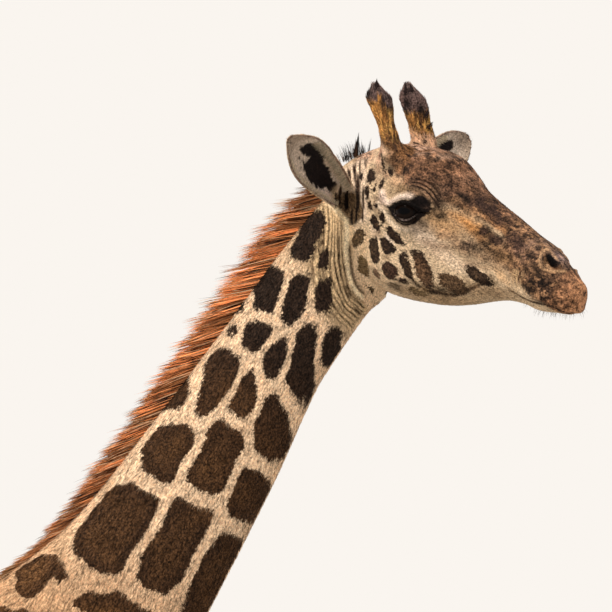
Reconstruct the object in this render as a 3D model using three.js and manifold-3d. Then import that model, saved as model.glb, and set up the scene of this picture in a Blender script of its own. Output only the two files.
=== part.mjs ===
// A life-size female Masai giraffe standing on its four feet, neck raised and stretched forward, head turned to its
// right. Millimetres, +Z up, nose towards +X, left side towards +Y, origin on the ground under the middle of the box.
//
// Every limb is a loft of oval sections between a leading and a trailing outline. The flesh is joined into one body
// and then parted by thin plane cuts at the joints that a person would name.
import * as THREE from "three";
import { mergeVertices } from "three/addons/utils/BufferGeometryUtils.js";
import Module from "manifold-3d";

const wasm = await Module();
wasm.setup();

// Driving dimensions.
const POLL_HEIGHT = 3950; // top of the neck between the ears; all x below are counted from it
const HEAD_PITCH = 20; // degrees, nose below the horizontal
const HEAD_YAW = 35; // degrees, nose towards the animal's right
const HEAD_ROLL = 2; // degrees, left ear up
const GAP = 0.4; // clearance between neighbouring pieces
const EYE_RADIUS = 28.5;
const EYE_AT = { x: 243, y: 98, z: -41 }; // in the head's own frame
const HOOF_HEIGHT = 115;
const CLEFT = 7; // width of the slit between the two toes of a hoof

// One section: top and bottom are [x, z] points in the plane of symmetry, width is across, wide is the height of the
// widest place as a share from bottom to top, square is the exponent of the oval, y moves the section sideways and
// splay turns it, top outwards and bottom inwards.
const at = (top, bottom, width, { wide = 0.5, square = 2.2, y = 0, splay = 0 } = {}) =>
  ({ top, bottom, width, wide, square, y, splay });
const level = (z, front, back, width, y, square = 2.2) => at([front, z], [back, z], width, { y, square });
const up = (z) => POLL_HEIGHT + z;

const TRUNK = [
  at([-930, 2480], [-800, 1960], 330, { wide: 0.45 }),
  at([-1110, 2700], [-900, 1770], 480, { wide: 0.42 }),
  at([-1290, 2725], [-1110, 1700], 560, { wide: 0.4, square: 2.3 }),
  at([-1500, 2640], [-1380, 1690], 620, { wide: 0.4, square: 2.3 }),
  at([-1730, 2540], [-1670, 1720], 640, { wide: 0.42, square: 2.3 }),
  at([-1960, 2460], [-1930, 1800], 600, { wide: 0.5, square: 2.3 }),
  at([-2160, 2370], [-2150, 1930], 500, { wide: 0.52 }),
  at([-2320, 2240], [-2320, 2030], 300),
];
const NECK = [
  at([-1210, 2745], [-790, 2030], 400, { wide: 0.42 }),
  at([-1020, up(-1100)], [-622, up(-1620)], 330, { wide: 0.44 }),
  at([-810, up(-940)], [-452, up(-1285)], 275, { wide: 0.47 }),
  at([-600, up(-778)], [-306, up(-990)], 235),
  at([-410, up(-545)], [-162, up(-708)], 202),
  at([-275, up(-366)], [-66, up(-500)], 176),
  at([-145, up(-192)], [32, up(-350)], 162),
  at([-52, up(-80)], [76, up(-306)], 158),
  at([0, up(-40)], [90, up(-250)], 140),
];
const HEAD = [
  at([-2, -22], [88, -172], 126, { wide: 0.55 }),
  at([38, 18], [132, -224], 160, { wide: 0.52, square: 2.3 }),
  at([105, 62], [198, -242], 186, { wide: 0.6, square: 2.4 }),
  at([182, 82], [252, -239], 196, { wide: 0.64, square: 2.5 }),
  at([242, 88], [300, -231], 186, { wide: 0.66, square: 2.5 }),
  at([292, 73], [350, -219], 158, { wide: 0.64, square: 2.4 }),
  at([343, 45], [402, -199], 134, { wide: 0.62, square: 2.4 }),
  at([398, 29], [448, -176], 116, { wide: 0.58, square: 2.4 }),
  at([451, 16], [492, -158], 106, { wide: 0.55, square: 2.4 }),
  at([506, 0], [532, -152], 106, { wide: 0.52, square: 2.4 }),
  at([555, -12], [572, -152], 114, { wide: 0.5, square: 2.5 }),
  at([600, -34], [612, -144], 106, { wide: 0.48, square: 2.4 }),
  at([637, -56], [634, -141], 84, { wide: 0.45, square: 2.3 }),
];
const OSSICONE_SPREAD = 59;
const OSSICONE = [
  at([183, 50], [116, 26], 84, { y: OSSICONE_SPREAD, splay: 8 }),
  at([156, 87], [104, 64], 52, { y: OSSICONE_SPREAD + 2, splay: 8 }),
  at([131, 115], [88, 96], 38, { y: OSSICONE_SPREAD + 3, splay: 7 }),
  at([117, 142], [64, 121], 42, { y: OSSICONE_SPREAD + 3, splay: 4 }),
  at([101, 162], [45, 143], 42, { y: OSSICONE_SPREAD + 2 }),
  at([69, 178], [44, 164], 24, { y: OSSICONE_SPREAD + 1 }),
];
const FORELEG = [
  level(2480, -960, -1190, 60, 150),
  level(2250, -880, -1195, 118, 178),
  level(2040, -812, -1180, 165, 196),
  level(1820, -818, -1175, 180, 198),
  level(1630, -858, -1135, 155, 188),
  level(1430, -885, -1092, 134, 182),
  level(1190, -905, -1050, 108, 180),
  level(1010, -912, -1030, 96, 180),
  level(905, -905, -1030, 118, 180, 2.5),
  level(800, -918, -1016, 92, 181),
  level(600, -928, -1006, 71, 183),
  level(380, -928, -1006, 70, 185),
  level(260, -918, -1024, 94, 186, 2.5),
  level(180, -893, -990, 86, 187),
  level(HOOF_HEIGHT, -862, -985, 106, 188, 2.5),
];
const HINDLEG = [
  level(2230, -2030, -2330, 110, 150),
  level(2020, -1935, -2425, 200, 165),
  level(1810, -1905, -2420, 212, 172),
  level(1610, -1925, -2345, 180, 174),
  level(1450, -1965, -2275, 152, 172),
  level(1290, -2055, -2270, 124, 170),
  level(1130, -2155, -2310, 102, 170),
  level(1010, -2218, -2372, 92, 170),
  level(920, -2232, -2385, 106, 170, 2.5),
  level(820, -2235, -2345, 92, 171),
  level(700, -2226, -2310, 76, 172),
  level(520, -2212, -2290, 68, 173),
  level(360, -2200, -2280, 70, 174),
  level(250, -2184, -2296, 94, 175, 2.5),
  level(175, -2152, -2252, 86, 176),
  level(HOOF_HEIGHT, -2120, -2245, 106, 177, 2.5),
];
const HOOF_FLARE = { front: 45, back: 12, across: 32 }; // how much further the sole reaches than the coronet
const TAIL = [
  at([-2330, 2235], [-2340, 2140], 90),
  at([-2415, 2195], [-2385, 2120], 66),
  at([-2470, 2080], [-2418, 2060], 48),
  at([-2490, 1900], [-2448, 1895], 36),
  at([-2488, 1650], [-2456, 1650], 28),
  at([-2478, 1400], [-2452, 1400], 24),
];
const TAIL_TUFT = [
  at([-2477, 1398], [-2451, 1398], 26),
  at([-2496, 1260], [-2436, 1260], 58),
  at([-2502, 1080], [-2430, 1080], 70),
  at([-2490, 920], [-2436, 920], 52),
  at([-2474, 820], [-2452, 820], 22),
];
// The mane stands along the nape: outer edge, then a point well inside the neck.
const MANE = [
  at([60, up(26)], [52, up(-40)], 26),
  at([12, up(42)], [16, up(-60)], 42),
  at([-64, up(0)], [-20, up(-90)], 52),
  at([-145, up(-92)], [-70, up(-165)], 56),
  at([-236, up(-202)], [-130, up(-262)], 56),
  at([-342, up(-346)], [-225, up(-420)], 58),
  at([-452, up(-500)], [-330, up(-580)], 60),
  at([-552, up(-638)], [-430, up(-720)], 60),
  at([-686, up(-772)], [-560, up(-860)], 60),
  at([-868, up(-890)], [-790, up(-990)], 58),
  at([-1070, up(-1044)], [-1010, up(-1150)], 50),
  at([-1232, up(-1172)], [-1190, up(-1260)], 36),
];
const EAR = { x: 60, y: 96, z: -65, length: 268, width: 86, stem: 20, thickness: 9, start: -0.12 };
const EAR_AXIS = new THREE.Vector3(0.02, 0.884, 0.467).normalize(); // of the left ear, in the head's frame
const EAR_OPENING = new THREE.Vector3(1, 0.16, -0.1); // the way the cup faces
const EAR_ROLL = { left: 38, right: 0 }; // how far each ear is turned back about its own length, degrees

// The head's frame: x forward along the face, z towards the crown, origin at the poll.
const headFrame = new THREE.Matrix4()
  .makeTranslation(0, 0, POLL_HEIGHT)
  .multiply(new THREE.Matrix4().makeRotationZ(THREE.MathUtils.degToRad(-HEAD_YAW)))
  .multiply(new THREE.Matrix4().makeRotationY(THREE.MathUtils.degToRad(HEAD_PITCH)))
  .multiply(new THREE.Matrix4().makeRotationX(THREE.MathUtils.degToRad(HEAD_ROLL)));

const curve = (points) => new THREE.CatmullRomCurve3(points, false, "catmullrom", 0.5);

// Rows of points joined into one closed surface; the first and last rows are single points.
function closedRows(rows) {
  const position = rows.flat().flatMap((p) => [p.x, p.y, p.z]);
  const sides = rows[1].length;
  const index = [];
  const start = (row) => (row === 0 ? 0 : 1 + (row - 1) * sides);
  for (let row = 0; row < rows.length - 1; row++)
    for (let i = 0; i < sides; i++) {
      const j = (i + 1) % sides;
      const [a, b] = [start(row), start(row + 1)];
      if (row === 0) index.push(0, b + j, b + i);
      else if (row === rows.length - 2) index.push(a + i, a + j, b);
      else index.push(a + i, a + j, b + j, a + i, b + j, b + i);
    }
  return new THREE.BufferGeometry()
    .setAttribute("position", new THREE.Float32BufferAttribute(position, 3))
    .setIndex(index);
}

// A body of oval sections with rounded ends. caps are how far the two ends bulge beyond the outer sections.
function loft(stations, { sides = 20, steps = 20, caps = [0, 0], grow = 0 } = {}) {
  const tops = curve(stations.map((s) => new THREE.Vector3(s.top[0], s.y + s.splay, s.top[1])));
  const bottoms = curve(stations.map((s) => new THREE.Vector3(s.bottom[0], s.y - s.splay, s.bottom[1])));
  const shapes = curve(stations.map((s) => new THREE.Vector3(s.width, s.wide, s.square)));
  const section = (t, scale, push) => {
    const [top, bottom, shape] = [tops.getPoint(t), bottoms.getPoint(t), shapes.getPoint(t)];
    const long = top.clone().sub(bottom);
    const ahead = new THREE.Vector3(-long.z, 0, long.x).normalize();
    if (ahead.dot(tops.getTangent(t)) < 0) ahead.negate();
    const reach = 1 + (2 * grow) / long.length();
    const power = 2 / shape.z;
    return Array.from({ length: sides }, (_, i) => {
      const angle = (2 * Math.PI * i) / sides;
      const [c, s] = [Math.cos(angle), Math.sin(angle)];
      const rise = Math.sign(s) * Math.abs(s) ** power * (s > 0 ? 1 - shape.y : shape.y);
      const across = Math.sign(c) * Math.abs(c) ** power * (shape.x / 2 + grow);
      return bottom
        .clone()
        .addScaledVector(long, shape.y + rise * reach * scale)
        .addScaledVector(ahead, push)
        .add(new THREE.Vector3(0, across * scale, 0));
    });
  };
  const rounds = caps.map((cap) => (cap > 0 ? 4 : 0));
  const centre = (t, push) => [section(t, 0, push)[0]];
  const rows = [centre(0, -caps[0] - grow)];
  for (let k = 1; k < rounds[0]; k++) {
    const angle = (Math.PI / 2) * (k / rounds[0]);
    rows.push(section(0, Math.sin(angle), -caps[0] * Math.cos(angle) - grow));
  }
  for (let k = 0; k <= steps; k++) rows.push(section(k / steps, 1, k === 0 ? -grow : k === steps ? grow : 0));
  for (let k = rounds[1] - 1; k > 0; k--) {
    const angle = (Math.PI / 2) * (k / rounds[1]);
    rows.push(section(1, Math.sin(angle), caps[1] * Math.cos(angle) + grow));
  }
  rows.push(centre(1, caps[1] + grow));
  return closedRows(rows);
}

function solid(geometry, matrix) {
  const g = geometry.clone();
  g.deleteAttribute("normal");
  g.deleteAttribute("uv");
  if (matrix) g.applyMatrix4(matrix);
  const merged = mergeVertices(g, 1e-3);
  const made = new wasm.Manifold(
    new wasm.Mesh({
      numProp: 3,
      vertProperties: merged.attributes.position.array,
      triVerts: new Uint32Array(merged.index.array),
    }),
  );
  if (made.volume() > 0) return made;
  const flipped = merged.index.array.slice();
  for (let i = 0; i < flipped.length; i += 3) [flipped[i + 1], flipped[i + 2]] = [flipped[i + 2], flipped[i + 1]];
  merged.setIndex(new THREE.BufferAttribute(flipped, 1));
  return solid(merged);
}

const mirror = new THREE.Matrix4().makeScale(1, -1, 1);
const inHead = (side) => (side < 0 ? headFrame.clone().multiply(mirror) : headFrame);
const onSide = (side) => (side < 0 ? mirror : undefined);
const join = (solids) => solids.reduce((a, b) => a.add(b));
const SIDES = { left: 1, right: -1 };
const bothSides = (make) => Object.values(SIDES).map(make);

// The bony rim that carries the eye.
function orbit(side, grow = 0) {
  const g = new THREE.SphereGeometry(1, 12, 8);
  g.scale(60 + grow, 36 + grow, 46 + grow);
  g.translate(EYE_AT.x + 1, EYE_AT.y - 20, EYE_AT.z + 21);
  return solid(g, inHead(side));
}

function eyeball(side, grow = 0) {
  const g = new THREE.SphereGeometry(EYE_RADIUS + grow, 12, 8);
  g.rotateX(Math.PI / 2);
  g.translate(EYE_AT.x, EYE_AT.y, EYE_AT.z);
  return solid(g, inHead(side));
}

// A cupped leaf rolled into a stem at its root, which starts inside the head.
function ear(side, rolled) {
  const [along, across] = [8, 6];
  const opening = EAR_OPENING.clone().projectOnPlane(EAR_AXIS).normalize();
  opening.applyAxisAngle(EAR_AXIS, THREE.MathUtils.degToRad(-rolled));
  const broad = new THREE.Vector3().crossVectors(opening, EAR_AXIS);
  const point = (share, q, depth) => {
    const s = Math.max(0, share);
    const half = EAR.stem + (EAR.width / 2 - EAR.stem) * Math.sin(Math.PI * Math.min(1, s ** 1.3));
    const tip = Math.sqrt(Math.max(0, 1 - Math.max(0, (s - 0.74) / 0.26) ** 2));
    const roll = THREE.MathUtils.degToRad(THREE.MathUtils.lerp(120, 42, Math.min(1, s * 2.2)));
    const radius = (half * Math.max(0.12, tip)) / Math.sin(Math.min(roll, Math.PI / 2));
    const angle = q * roll;
    return new THREE.Vector3(EAR.x, EAR.y, EAR.z)
      .addScaledVector(EAR_AXIS, EAR.length * share)
      .addScaledVector(broad, (radius + depth) * Math.sin(angle))
      .addScaledVector(opening, radius - (radius + depth) * Math.cos(angle));
  };
  const sides = 2 * (across + 1);
  const position = [];
  const index = [];
  for (let k = 0; k <= along; k++) {
    const share = THREE.MathUtils.lerp(EAR.start, 1, k / along);
    for (let i = 0; i <= across; i++) position.push(...point(share, -1 + (2 * i) / across, 0));
    for (let i = across; i >= 0; i--) position.push(...point(share, -1 + (2 * i) / across, EAR.thickness));
  }
  const quad = (a, b, c, d) => index.push(a, b, c, a, c, d);
  for (let k = 0; k < along; k++)
    for (let i = 0; i < sides; i++) {
      const [a, b] = [k * sides + i, k * sides + ((i + 1) % sides)];
      quad(a, b, b + sides, a + sides);
    }
  const last = along * sides;
  for (let i = 0; i < across; i++) {
    quad(i, sides - 1 - i, sides - 2 - i, i + 1);
    quad(last + i, last + i + 1, last + sides - 2 - i, last + sides - 1 - i);
  }
  const g = new THREE.BufferGeometry()
    .setAttribute("position", new THREE.Float32BufferAttribute(position, 3))
    .setIndex(index);
  return solid(g, inHead(side));
}

// Everything that is skin over flesh, before it is parted.
function flesh(grow = 0) {
  return join([
    solid(loft(TRUNK, { sides: 18, steps: 9, caps: [90, 90], grow })),
    solid(loft(NECK, { sides: 16, steps: 14, caps: [60, 40], grow })),
    solid(loft(HEAD, { sides: 18, steps: 15, caps: [30, 30], grow }), headFrame),
    ...bothSides((side) => orbit(side, grow)),
    ...bothSides((side) => solid(loft(FORELEG, { sides: 12, steps: 19, caps: [70, 0], grow }), onSide(side))),
    ...bothSides((side) => solid(loft(HINDLEG, { sides: 12, steps: 20, caps: [70, 0], grow }), onSide(side))),
  ]);
}

// Parts a solid by the plane through a point and returns [the part on the normal's side, the other part].
function partAt(body, point, normal) {
  const n = normal.clone().normalize();
  const offset = n.dot(point);
  return [
    body.trimByPlane([n.x, n.y, n.z], offset + GAP / 2),
    body.trimByPlane([-n.x, -n.y, -n.z], -offset + GAP / 2),
  ];
}

// Two toes under a coronet, flat on the ground, flaring forward.
function hoofPair(coronet) {
  const [front, back] = [coronet.top[0], coronet.bottom[0]];
  const flared = (height, share) =>
    level(
      (HOOF_HEIGHT - GAP) * height,
      front + HOOF_FLARE.front * share,
      back - HOOF_FLARE.back * share,
      coronet.width + HOOF_FLARE.across * share,
      coronet.y,
      2.6,
    );
  const block = solid(loft([flared(1, 0), flared(0.5, 0.55), flared(0, 1)], { sides: 16, steps: 4 }));
  const toe = (sign) => block.trimByPlane([0, sign, 0], sign * coronet.y + CLEFT / 2);
  return { outer: toe(1), inner: toe(-1) };
}

const nodes = new Map();
const put = (name, body, colour, roughness = 0.85) => nodes.set(name, { body, colour, roughness });
const COAT = 0xb48a66;
const DARK = 0x3a2c26;
const MANE_BROWN = 0x8a4a2a;

const whole = flesh();
const grown = flesh(GAP);

// Legs come off under the trunk, then at the knee or hock and at the fetlock.
const ELBOW_CUT = 1660;
const KNEE_CUTS = { fore: 905, hind: 925 };
const FETLOCK_CUT = 262;
const UP = new THREE.Vector3(0, 0, 1);
const [upper, legs] = partAt(whole, new THREE.Vector3(0, 0, ELBOW_CUT), UP);
for (const leg of legs.decompose()) {
  const box = leg.boundingBox();
  const where = (box.min[0] + box.max[0]) / 2 > -1600 ? "fore" : "hind";
  const side = (box.min[1] + box.max[1]) / 2 > 0 ? "left" : "right";
  const [top, rest] = partAt(leg, new THREE.Vector3(0, 0, KNEE_CUTS[where]), UP);
  const [cannon, foot] = partAt(rest, new THREE.Vector3(0, 0, FETLOCK_CUT), UP);
  put(`${where}leg_${side}_upper`, top, COAT);
  put(`${where}leg_${side}_cannon`, cannon, COAT);
  put(`${where}leg_${side}_pastern`, foot, COAT);
}

// The neck leaves the trunk between withers and breast, and has three lengths below the head.
const NECK_CUTS = [
  { point: [-960, up(-1340)], slope: -56 },
  { point: [-500, up(-880)], slope: -38 },
  { point: [-190, up(-450)], slope: -36 },
];
let above = upper;
const [trunk, neckLower, neckMiddle] = NECK_CUTS.map(({ point, slope }) => {
  const angle = THREE.MathUtils.degToRad(slope + 90);
  const normal = new THREE.Vector3(Math.cos(angle), 0, Math.sin(angle));
  const [ahead, behind] = partAt(above, new THREE.Vector3(point[0], 0, point[1]), normal);
  above = ahead;
  return behind;
});
const headCut = new THREE.Vector3(0.894, 0, 0.447).applyAxisAngle(UP, THREE.MathUtils.degToRad(-HEAD_YAW / 2));
const [headWhole, neckUpper] = partAt(above, new THREE.Vector3(-40, 0, up(-105)), headCut);
put("trunk", trunk, COAT);
put("neck_lower", neckLower, COAT);
put("neck_middle", neckMiddle, COAT);
put("neck_upper", neckUpper, COAT);

// The lower jaw is what lies under the line of the mouth and cheek.
const MOUTH_LINE = [
  [720, -127],
  [640, -127],
  [587, -122],
  [506, -107],
  [430, -142],
  [345, -176],
  [282, -266],
];
function underMouth(rise) {
  const outline = new THREE.Shape();
  MOUTH_LINE.forEach(([x, z], i) => (i ? outline.lineTo(x, z + rise) : outline.moveTo(x, z + rise)));
  outline.lineTo(720, -266);
  const g = new THREE.ExtrudeGeometry(outline, { depth: 300, bevelEnabled: false });
  g.rotateX(Math.PI / 2);
  g.translate(0, 150, 0);
  return solid(g, headFrame);
}
const sockets = join(bothSides((side) => eyeball(side, GAP)));
const headFull = headWhole.subtract(sockets);
put("head", headFull.subtract(underMouth(GAP)), COAT);
put("lower_jaw", headFull.intersect(underMouth(0)), COAT);

for (const [name, side] of Object.entries(SIDES)) {
  put(`eye_${name}`, eyeball(side), 0x15100d, 0.08);
  put(`ear_${name}`, ear(side, EAR_ROLL[name]).subtract(grown), COAT);
  put(`ossicone_${name}`, solid(loft(OSSICONE, { sides: 10, steps: 7, caps: [0, 8] }), inHead(side)).subtract(grown), DARK);
  for (const [where, stations] of Object.entries({ fore: FORELEG, hind: HINDLEG })) {
    const coronet = stations[stations.length - 1];
    for (const [toe, body] of Object.entries(hoofPair(coronet))) {
      put(`hoof_${where}_${name}_${toe}`, side < 0 ? body.mirror([0, 1, 0]) : body, DARK, 0.5);
    }
  }
}

const tail = solid(loft(TAIL, { sides: 8, steps: 6 })).subtract(grown);
put("tail", tail, COAT);
put("tail_tuft", solid(loft(TAIL_TUFT, { sides: 8, steps: 6, caps: [0, 40] })).translate([0, 0, -2]), DARK);
const ossicones = join(
  bothSides((side) => solid(loft(OSSICONE, { sides: 10, steps: 7, caps: [0, 8], grow: GAP }), inHead(side))),
);
put("mane", solid(loft(MANE, { sides: 8, steps: 15, caps: [6, 20] })).subtract(grown).subtract(ossicones), MANE_BROWN);

// The largest body of a cut piece; slivers that a cut leaves are dropped.
function mainBody(body) {
  return body.decompose().reduce((a, b) => (b.volume() > a.volume() ? b : a));
}

const model = new THREE.Group();
const bodies = new Map([...nodes].map(([name, node]) => [name, mainBody(node.body)]));
const box = new THREE.Box3();
for (const body of bodies.values()) {
  const { min, max } = body.boundingBox();
  box.expandByPoint(new THREE.Vector3(...min)).expandByPoint(new THREE.Vector3(...max));
}
const middle = box.getCenter(new THREE.Vector3());
for (const [name, body] of bodies) {
  const { colour, roughness } = nodes.get(name);
  const mesh = body.getMesh();
  const geometry = new THREE.BufferGeometry()
    .setAttribute("position", new THREE.BufferAttribute(mesh.vertProperties, 3))
    .setIndex(new THREE.BufferAttribute(mesh.triVerts, 1));
  const made = new THREE.Mesh(geometry, new THREE.MeshStandardMaterial({ color: colour, roughness, metalness: 0 }));
  made.name = name;
  model.add(made);
}
model.position.set(-middle.x, -middle.y, 0);

export default model;
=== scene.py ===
"""A life-size female Masai giraffe with its coat. The camera, on its right, frames head and upper neck."""

import math

import bmesh
import bpy
import numpy as np
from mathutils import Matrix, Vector

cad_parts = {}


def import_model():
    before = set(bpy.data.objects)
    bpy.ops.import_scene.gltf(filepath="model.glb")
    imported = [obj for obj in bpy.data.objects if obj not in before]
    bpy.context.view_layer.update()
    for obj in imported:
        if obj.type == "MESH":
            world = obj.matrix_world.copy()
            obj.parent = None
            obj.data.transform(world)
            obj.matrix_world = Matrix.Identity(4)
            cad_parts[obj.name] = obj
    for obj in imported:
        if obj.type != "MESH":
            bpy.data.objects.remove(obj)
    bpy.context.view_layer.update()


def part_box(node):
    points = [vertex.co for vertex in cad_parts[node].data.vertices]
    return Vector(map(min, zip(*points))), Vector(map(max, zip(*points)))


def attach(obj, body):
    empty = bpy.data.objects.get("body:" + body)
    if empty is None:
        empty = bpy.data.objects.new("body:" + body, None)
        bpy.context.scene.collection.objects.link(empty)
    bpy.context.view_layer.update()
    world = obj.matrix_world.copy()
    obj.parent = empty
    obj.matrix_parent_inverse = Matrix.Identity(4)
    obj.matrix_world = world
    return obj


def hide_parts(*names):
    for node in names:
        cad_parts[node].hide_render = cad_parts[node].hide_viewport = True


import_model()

# ---------------------------------------------------------------- sizes, in metres unless said otherwise
MM = 0.001
POLL_HEIGHT = 3950  # millimetres; the tables below are in millimetres too, and their x counts from the poll
HEAD_YAW, HEAD_PITCH, HEAD_ROLL = -35, 20, 2  # degrees
EYE_AT = np.array([0.243, 0.098, -0.041])  # of the left eye, in the head's frame
EYE_RADIUS = 0.0285
EYE_AXIS = np.array([0.306, 0.945, 0.115])
EYE_OPEN = (66, 28, 36)  # degrees from its middle to the corners, the upper lid and the lower one
BODY_INSET, HEAD_INSET = 5.0, 2.0  # how deep the skin lies under the tips of the coat, millimetres
STEM_INSET, CORE_INSET = 3.0, 3.0  # the same of the skin round the ossicones' feet and of their bone
BODY_VOXEL, HEAD_VOXEL = ((0.010, 0.0036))
NECK_LEAN = math.radians(56)
SEAM = 0.42  # where the fine mesh of the head gives way to that of the body, down the neck from the poll
SEED = 7


def at(top, bottom, width, wide=0.5, square=2.2, y=0.0, splay=0.0):
    """An oval section between two points of the plane of symmetry."""
    return (*top, *bottom, width, wide, square, y, splay)


def level(z, front, back, width, y, square=2.2):
    return at((front, z), (back, z), width, square=square, y=y)


def up(z):
    return POLL_HEIGHT + z


TRUNK = [
    at((-930, 2480), (-800, 1960), 330, 0.45),
    at((-1110, 2700), (-900, 1770), 480, 0.42),
    at((-1290, 2725), (-1110, 1700), 560, 0.4, 2.3),
    at((-1500, 2640), (-1380, 1690), 620, 0.4, 2.3),
    at((-1730, 2540), (-1670, 1720), 640, 0.42, 2.3),
    at((-1960, 2460), (-1930, 1800), 600, 0.5, 2.3),
    at((-2160, 2370), (-2150, 1930), 500, 0.52),
    at((-2320, 2240), (-2320, 2030), 300),
]
NECK = [
    at((-1210, 2745), (-790, 2030), 400, 0.42),
    at((-1020, up(-1100)), (-622, up(-1620)), 330, 0.44),
    at((-810, up(-940)), (-452, up(-1285)), 275, 0.47),
    at((-600, up(-778)), (-306, up(-990)), 235),
    at((-410, up(-545)), (-162, up(-708)), 202),
    at((-275, up(-366)), (-66, up(-500)), 176),
    at((-145, up(-192)), (32, up(-350)), 162),
    at((-52, up(-80)), (76, up(-306)), 158),
    at((0, up(-40)), (90, up(-250)), 140),
]
HEAD = [
    at((-2, -22), (88, -172), 126, 0.55),
    at((38, 18), (132, -224), 160, 0.52, 2.3),
    at((105, 62), (198, -242), 186, 0.6, 2.4),
    at((182, 82), (252, -239), 196, 0.64, 2.5),
    at((242, 88), (300, -231), 186, 0.66, 2.5),
    at((292, 73), (350, -219), 158, 0.64, 2.4),
    at((343, 45), (402, -199), 134, 0.62, 2.4),
    at((398, 29), (448, -176), 116, 0.58, 2.4),
    at((451, 16), (492, -158), 106, 0.55, 2.4),
    at((506, 0), (532, -152), 106, 0.52, 2.4),
    at((555, -12), (572, -152), 114, 0.5, 2.5),
    at((600, -34), (612, -144), 106, 0.48, 2.4),
    at((637, -56), (634, -141), 84, 0.45, 2.3),
]
SPREAD = 59
OSSICONE = [
    at((183, 50), (116, 26), 84, y=SPREAD, splay=8),
    at((156, 87), (104, 64), 52, y=SPREAD + 2, splay=8),
    at((131, 115), (88, 96), 38, y=SPREAD + 3, splay=7),
    at((117, 142), (64, 121), 42, y=SPREAD + 3, splay=4),
    at((101, 162), (45, 143), 42, y=SPREAD + 2),
    at((69, 178), (44, 164), 24, y=SPREAD + 1),
]
FORELEG = [
    level(2480, -960, -1190, 60, 150),
    level(2250, -880, -1195, 118, 178),
    level(2040, -812, -1180, 165, 196),
    level(1820, -818, -1175, 180, 198),
    level(1630, -858, -1135, 155, 188),
    level(1430, -885, -1092, 134, 182),
    level(1190, -905, -1050, 108, 180),
    level(1010, -912, -1030, 96, 180),
    level(905, -905, -1030, 118, 180, 2.5),
    level(800, -918, -1016, 92, 181),
    level(600, -928, -1006, 71, 183),
    level(380, -928, -1006, 70, 185),
    level(260, -918, -1024, 94, 186, 2.5),
    level(180, -893, -990, 86, 187),
    level(115, -862, -985, 106, 188, 2.5),
]
HINDLEG = [
    level(2230, -2030, -2330, 110, 150),
    level(2020, -1935, -2425, 200, 165),
    level(1810, -1905, -2420, 212, 172),
    level(1610, -1925, -2345, 180, 174),
    level(1450, -1965, -2275, 152, 172),
    level(1290, -2055, -2270, 124, 170),
    level(1130, -2155, -2310, 102, 170),
    level(1010, -2218, -2372, 92, 170),
    level(920, -2232, -2385, 106, 170, 2.5),
    level(820, -2235, -2345, 92, 171),
    level(700, -2226, -2310, 76, 172),
    level(520, -2212, -2290, 68, 173),
    level(360, -2200, -2280, 70, 174),
    level(250, -2184, -2296, 94, 175, 2.5),
    level(175, -2152, -2252, 86, 176),
    level(115, -2120, -2245, 106, 177, 2.5),
]
TAIL = [
    at((-2330, 2235), (-2340, 2140), 90),
    at((-2415, 2195), (-2385, 2120), 66),
    at((-2470, 2080), (-2418, 2060), 48),
    at((-2490, 1900), (-2448, 1895), 36),
    at((-2488, 1650), (-2456, 1650), 30),
    at((-2478, 1400), (-2452, 1400), 28),
]
HOOF_HEIGHT = 115
HOOF_FLARE = (45, 12, 32)  # front, back and across, millimetres
CLEFT = 7

# Patches on the side of the neck: how far down the neck from the poll, how far towards the throat,
# half length, half width, and turn from the neck's own line in degrees.
NECK_PATCHES = [
    (0.200, 0.028, 0.062, 0.024, 14), (0.220, 0.072, 0.027, 0.013, 24), (0.345, 0.024, 0.056, 0.033, 14),
    (0.320, 0.071, 0.060, 0.030, 18), (0.285, 0.117, 0.038, 0.020, 24), (0.362, 0.189, 0.042, 0.024, 28),
    (0.430, 0.052, 0.050, 0.030, 9), (0.452, 0.105, 0.058, 0.025, 14), (0.434, 0.168, 0.098, 0.031, 22),
    (0.562, 0.036, 0.088, 0.038, 0), (0.620, -0.004, 0.050, 0.030, 0), (0.534, 0.097, 0.060, 0.032, 18),
    (0.580, 0.190, 0.088, 0.040, 16), (0.742, 0.040, 0.082, 0.050, -6), (0.698, 0.124, 0.084, 0.054, 6),
    (0.715, 0.222, 0.076, 0.044, 14), (0.915, 0.040, 0.106, 0.062, -6), (0.886, 0.156, 0.104, 0.062, 9),
    (0.895, 0.256, 0.102, 0.052, 9), (0.455, 0.008, 0.018, 0.012, 4), (0.813, -0.014, 0.020, 0.014, 4),
    (0.395, -0.004, 0.016, 0.012, 0),
]
# Patches on the side of the face, in the head's frame: forward, up, half length, half width, turn.
FACE_PATCHES = [
    (0.130, -0.140, 0.026, 0.014, 65), (0.184, -0.150, 0.030, 0.016, 116),
    (0.170, -0.095, 0.019, 0.011, 135), (0.213, -0.130, 0.023, 0.015, 166),
    (0.226, -0.104, 0.027, 0.011, 155), (0.185, -0.078, 0.015, 0.007, 125),
    (0.278, -0.158, 0.040, 0.015, 131), (0.302, -0.154, 0.045, 0.022, 123),
    (0.373, -0.158, 0.035, 0.018, -6), (0.428, -0.122, 0.034, 0.013, 168),
    (0.234, -0.177, 0.021, 0.018, 174), (0.149, -0.197, 0.022, 0.017, 90),
    (0.195, -0.198, 0.011, 0.011, 147), (0.265, -0.189, 0.011, 0.007, 1),
    (0.242, -0.208, 0.016, 0.007, 19), (0.294, -0.205, 0.019, 0.009, 3),
    (0.160, -0.247, 0.014, 0.008, 148), (0.122, -0.007, 0.016, 0.012, 131),
    (0.156, -0.009, 0.013, 0.007, 78), (0.140, -0.025, 0.010, 0.006, 102),
    (0.126, -0.041, 0.012, 0.007, 120), (0.092, -0.014, 0.010, 0.007, 137),
    (0.144, -0.063, 0.010, 0.007, 141), (0.158, -0.058, 0.006, 0.005, 152),
    (0.167, 0.020, 0.011, 0.007, 154), (0.147, 0.024, 0.016, 0.005, 112),
]
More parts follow.
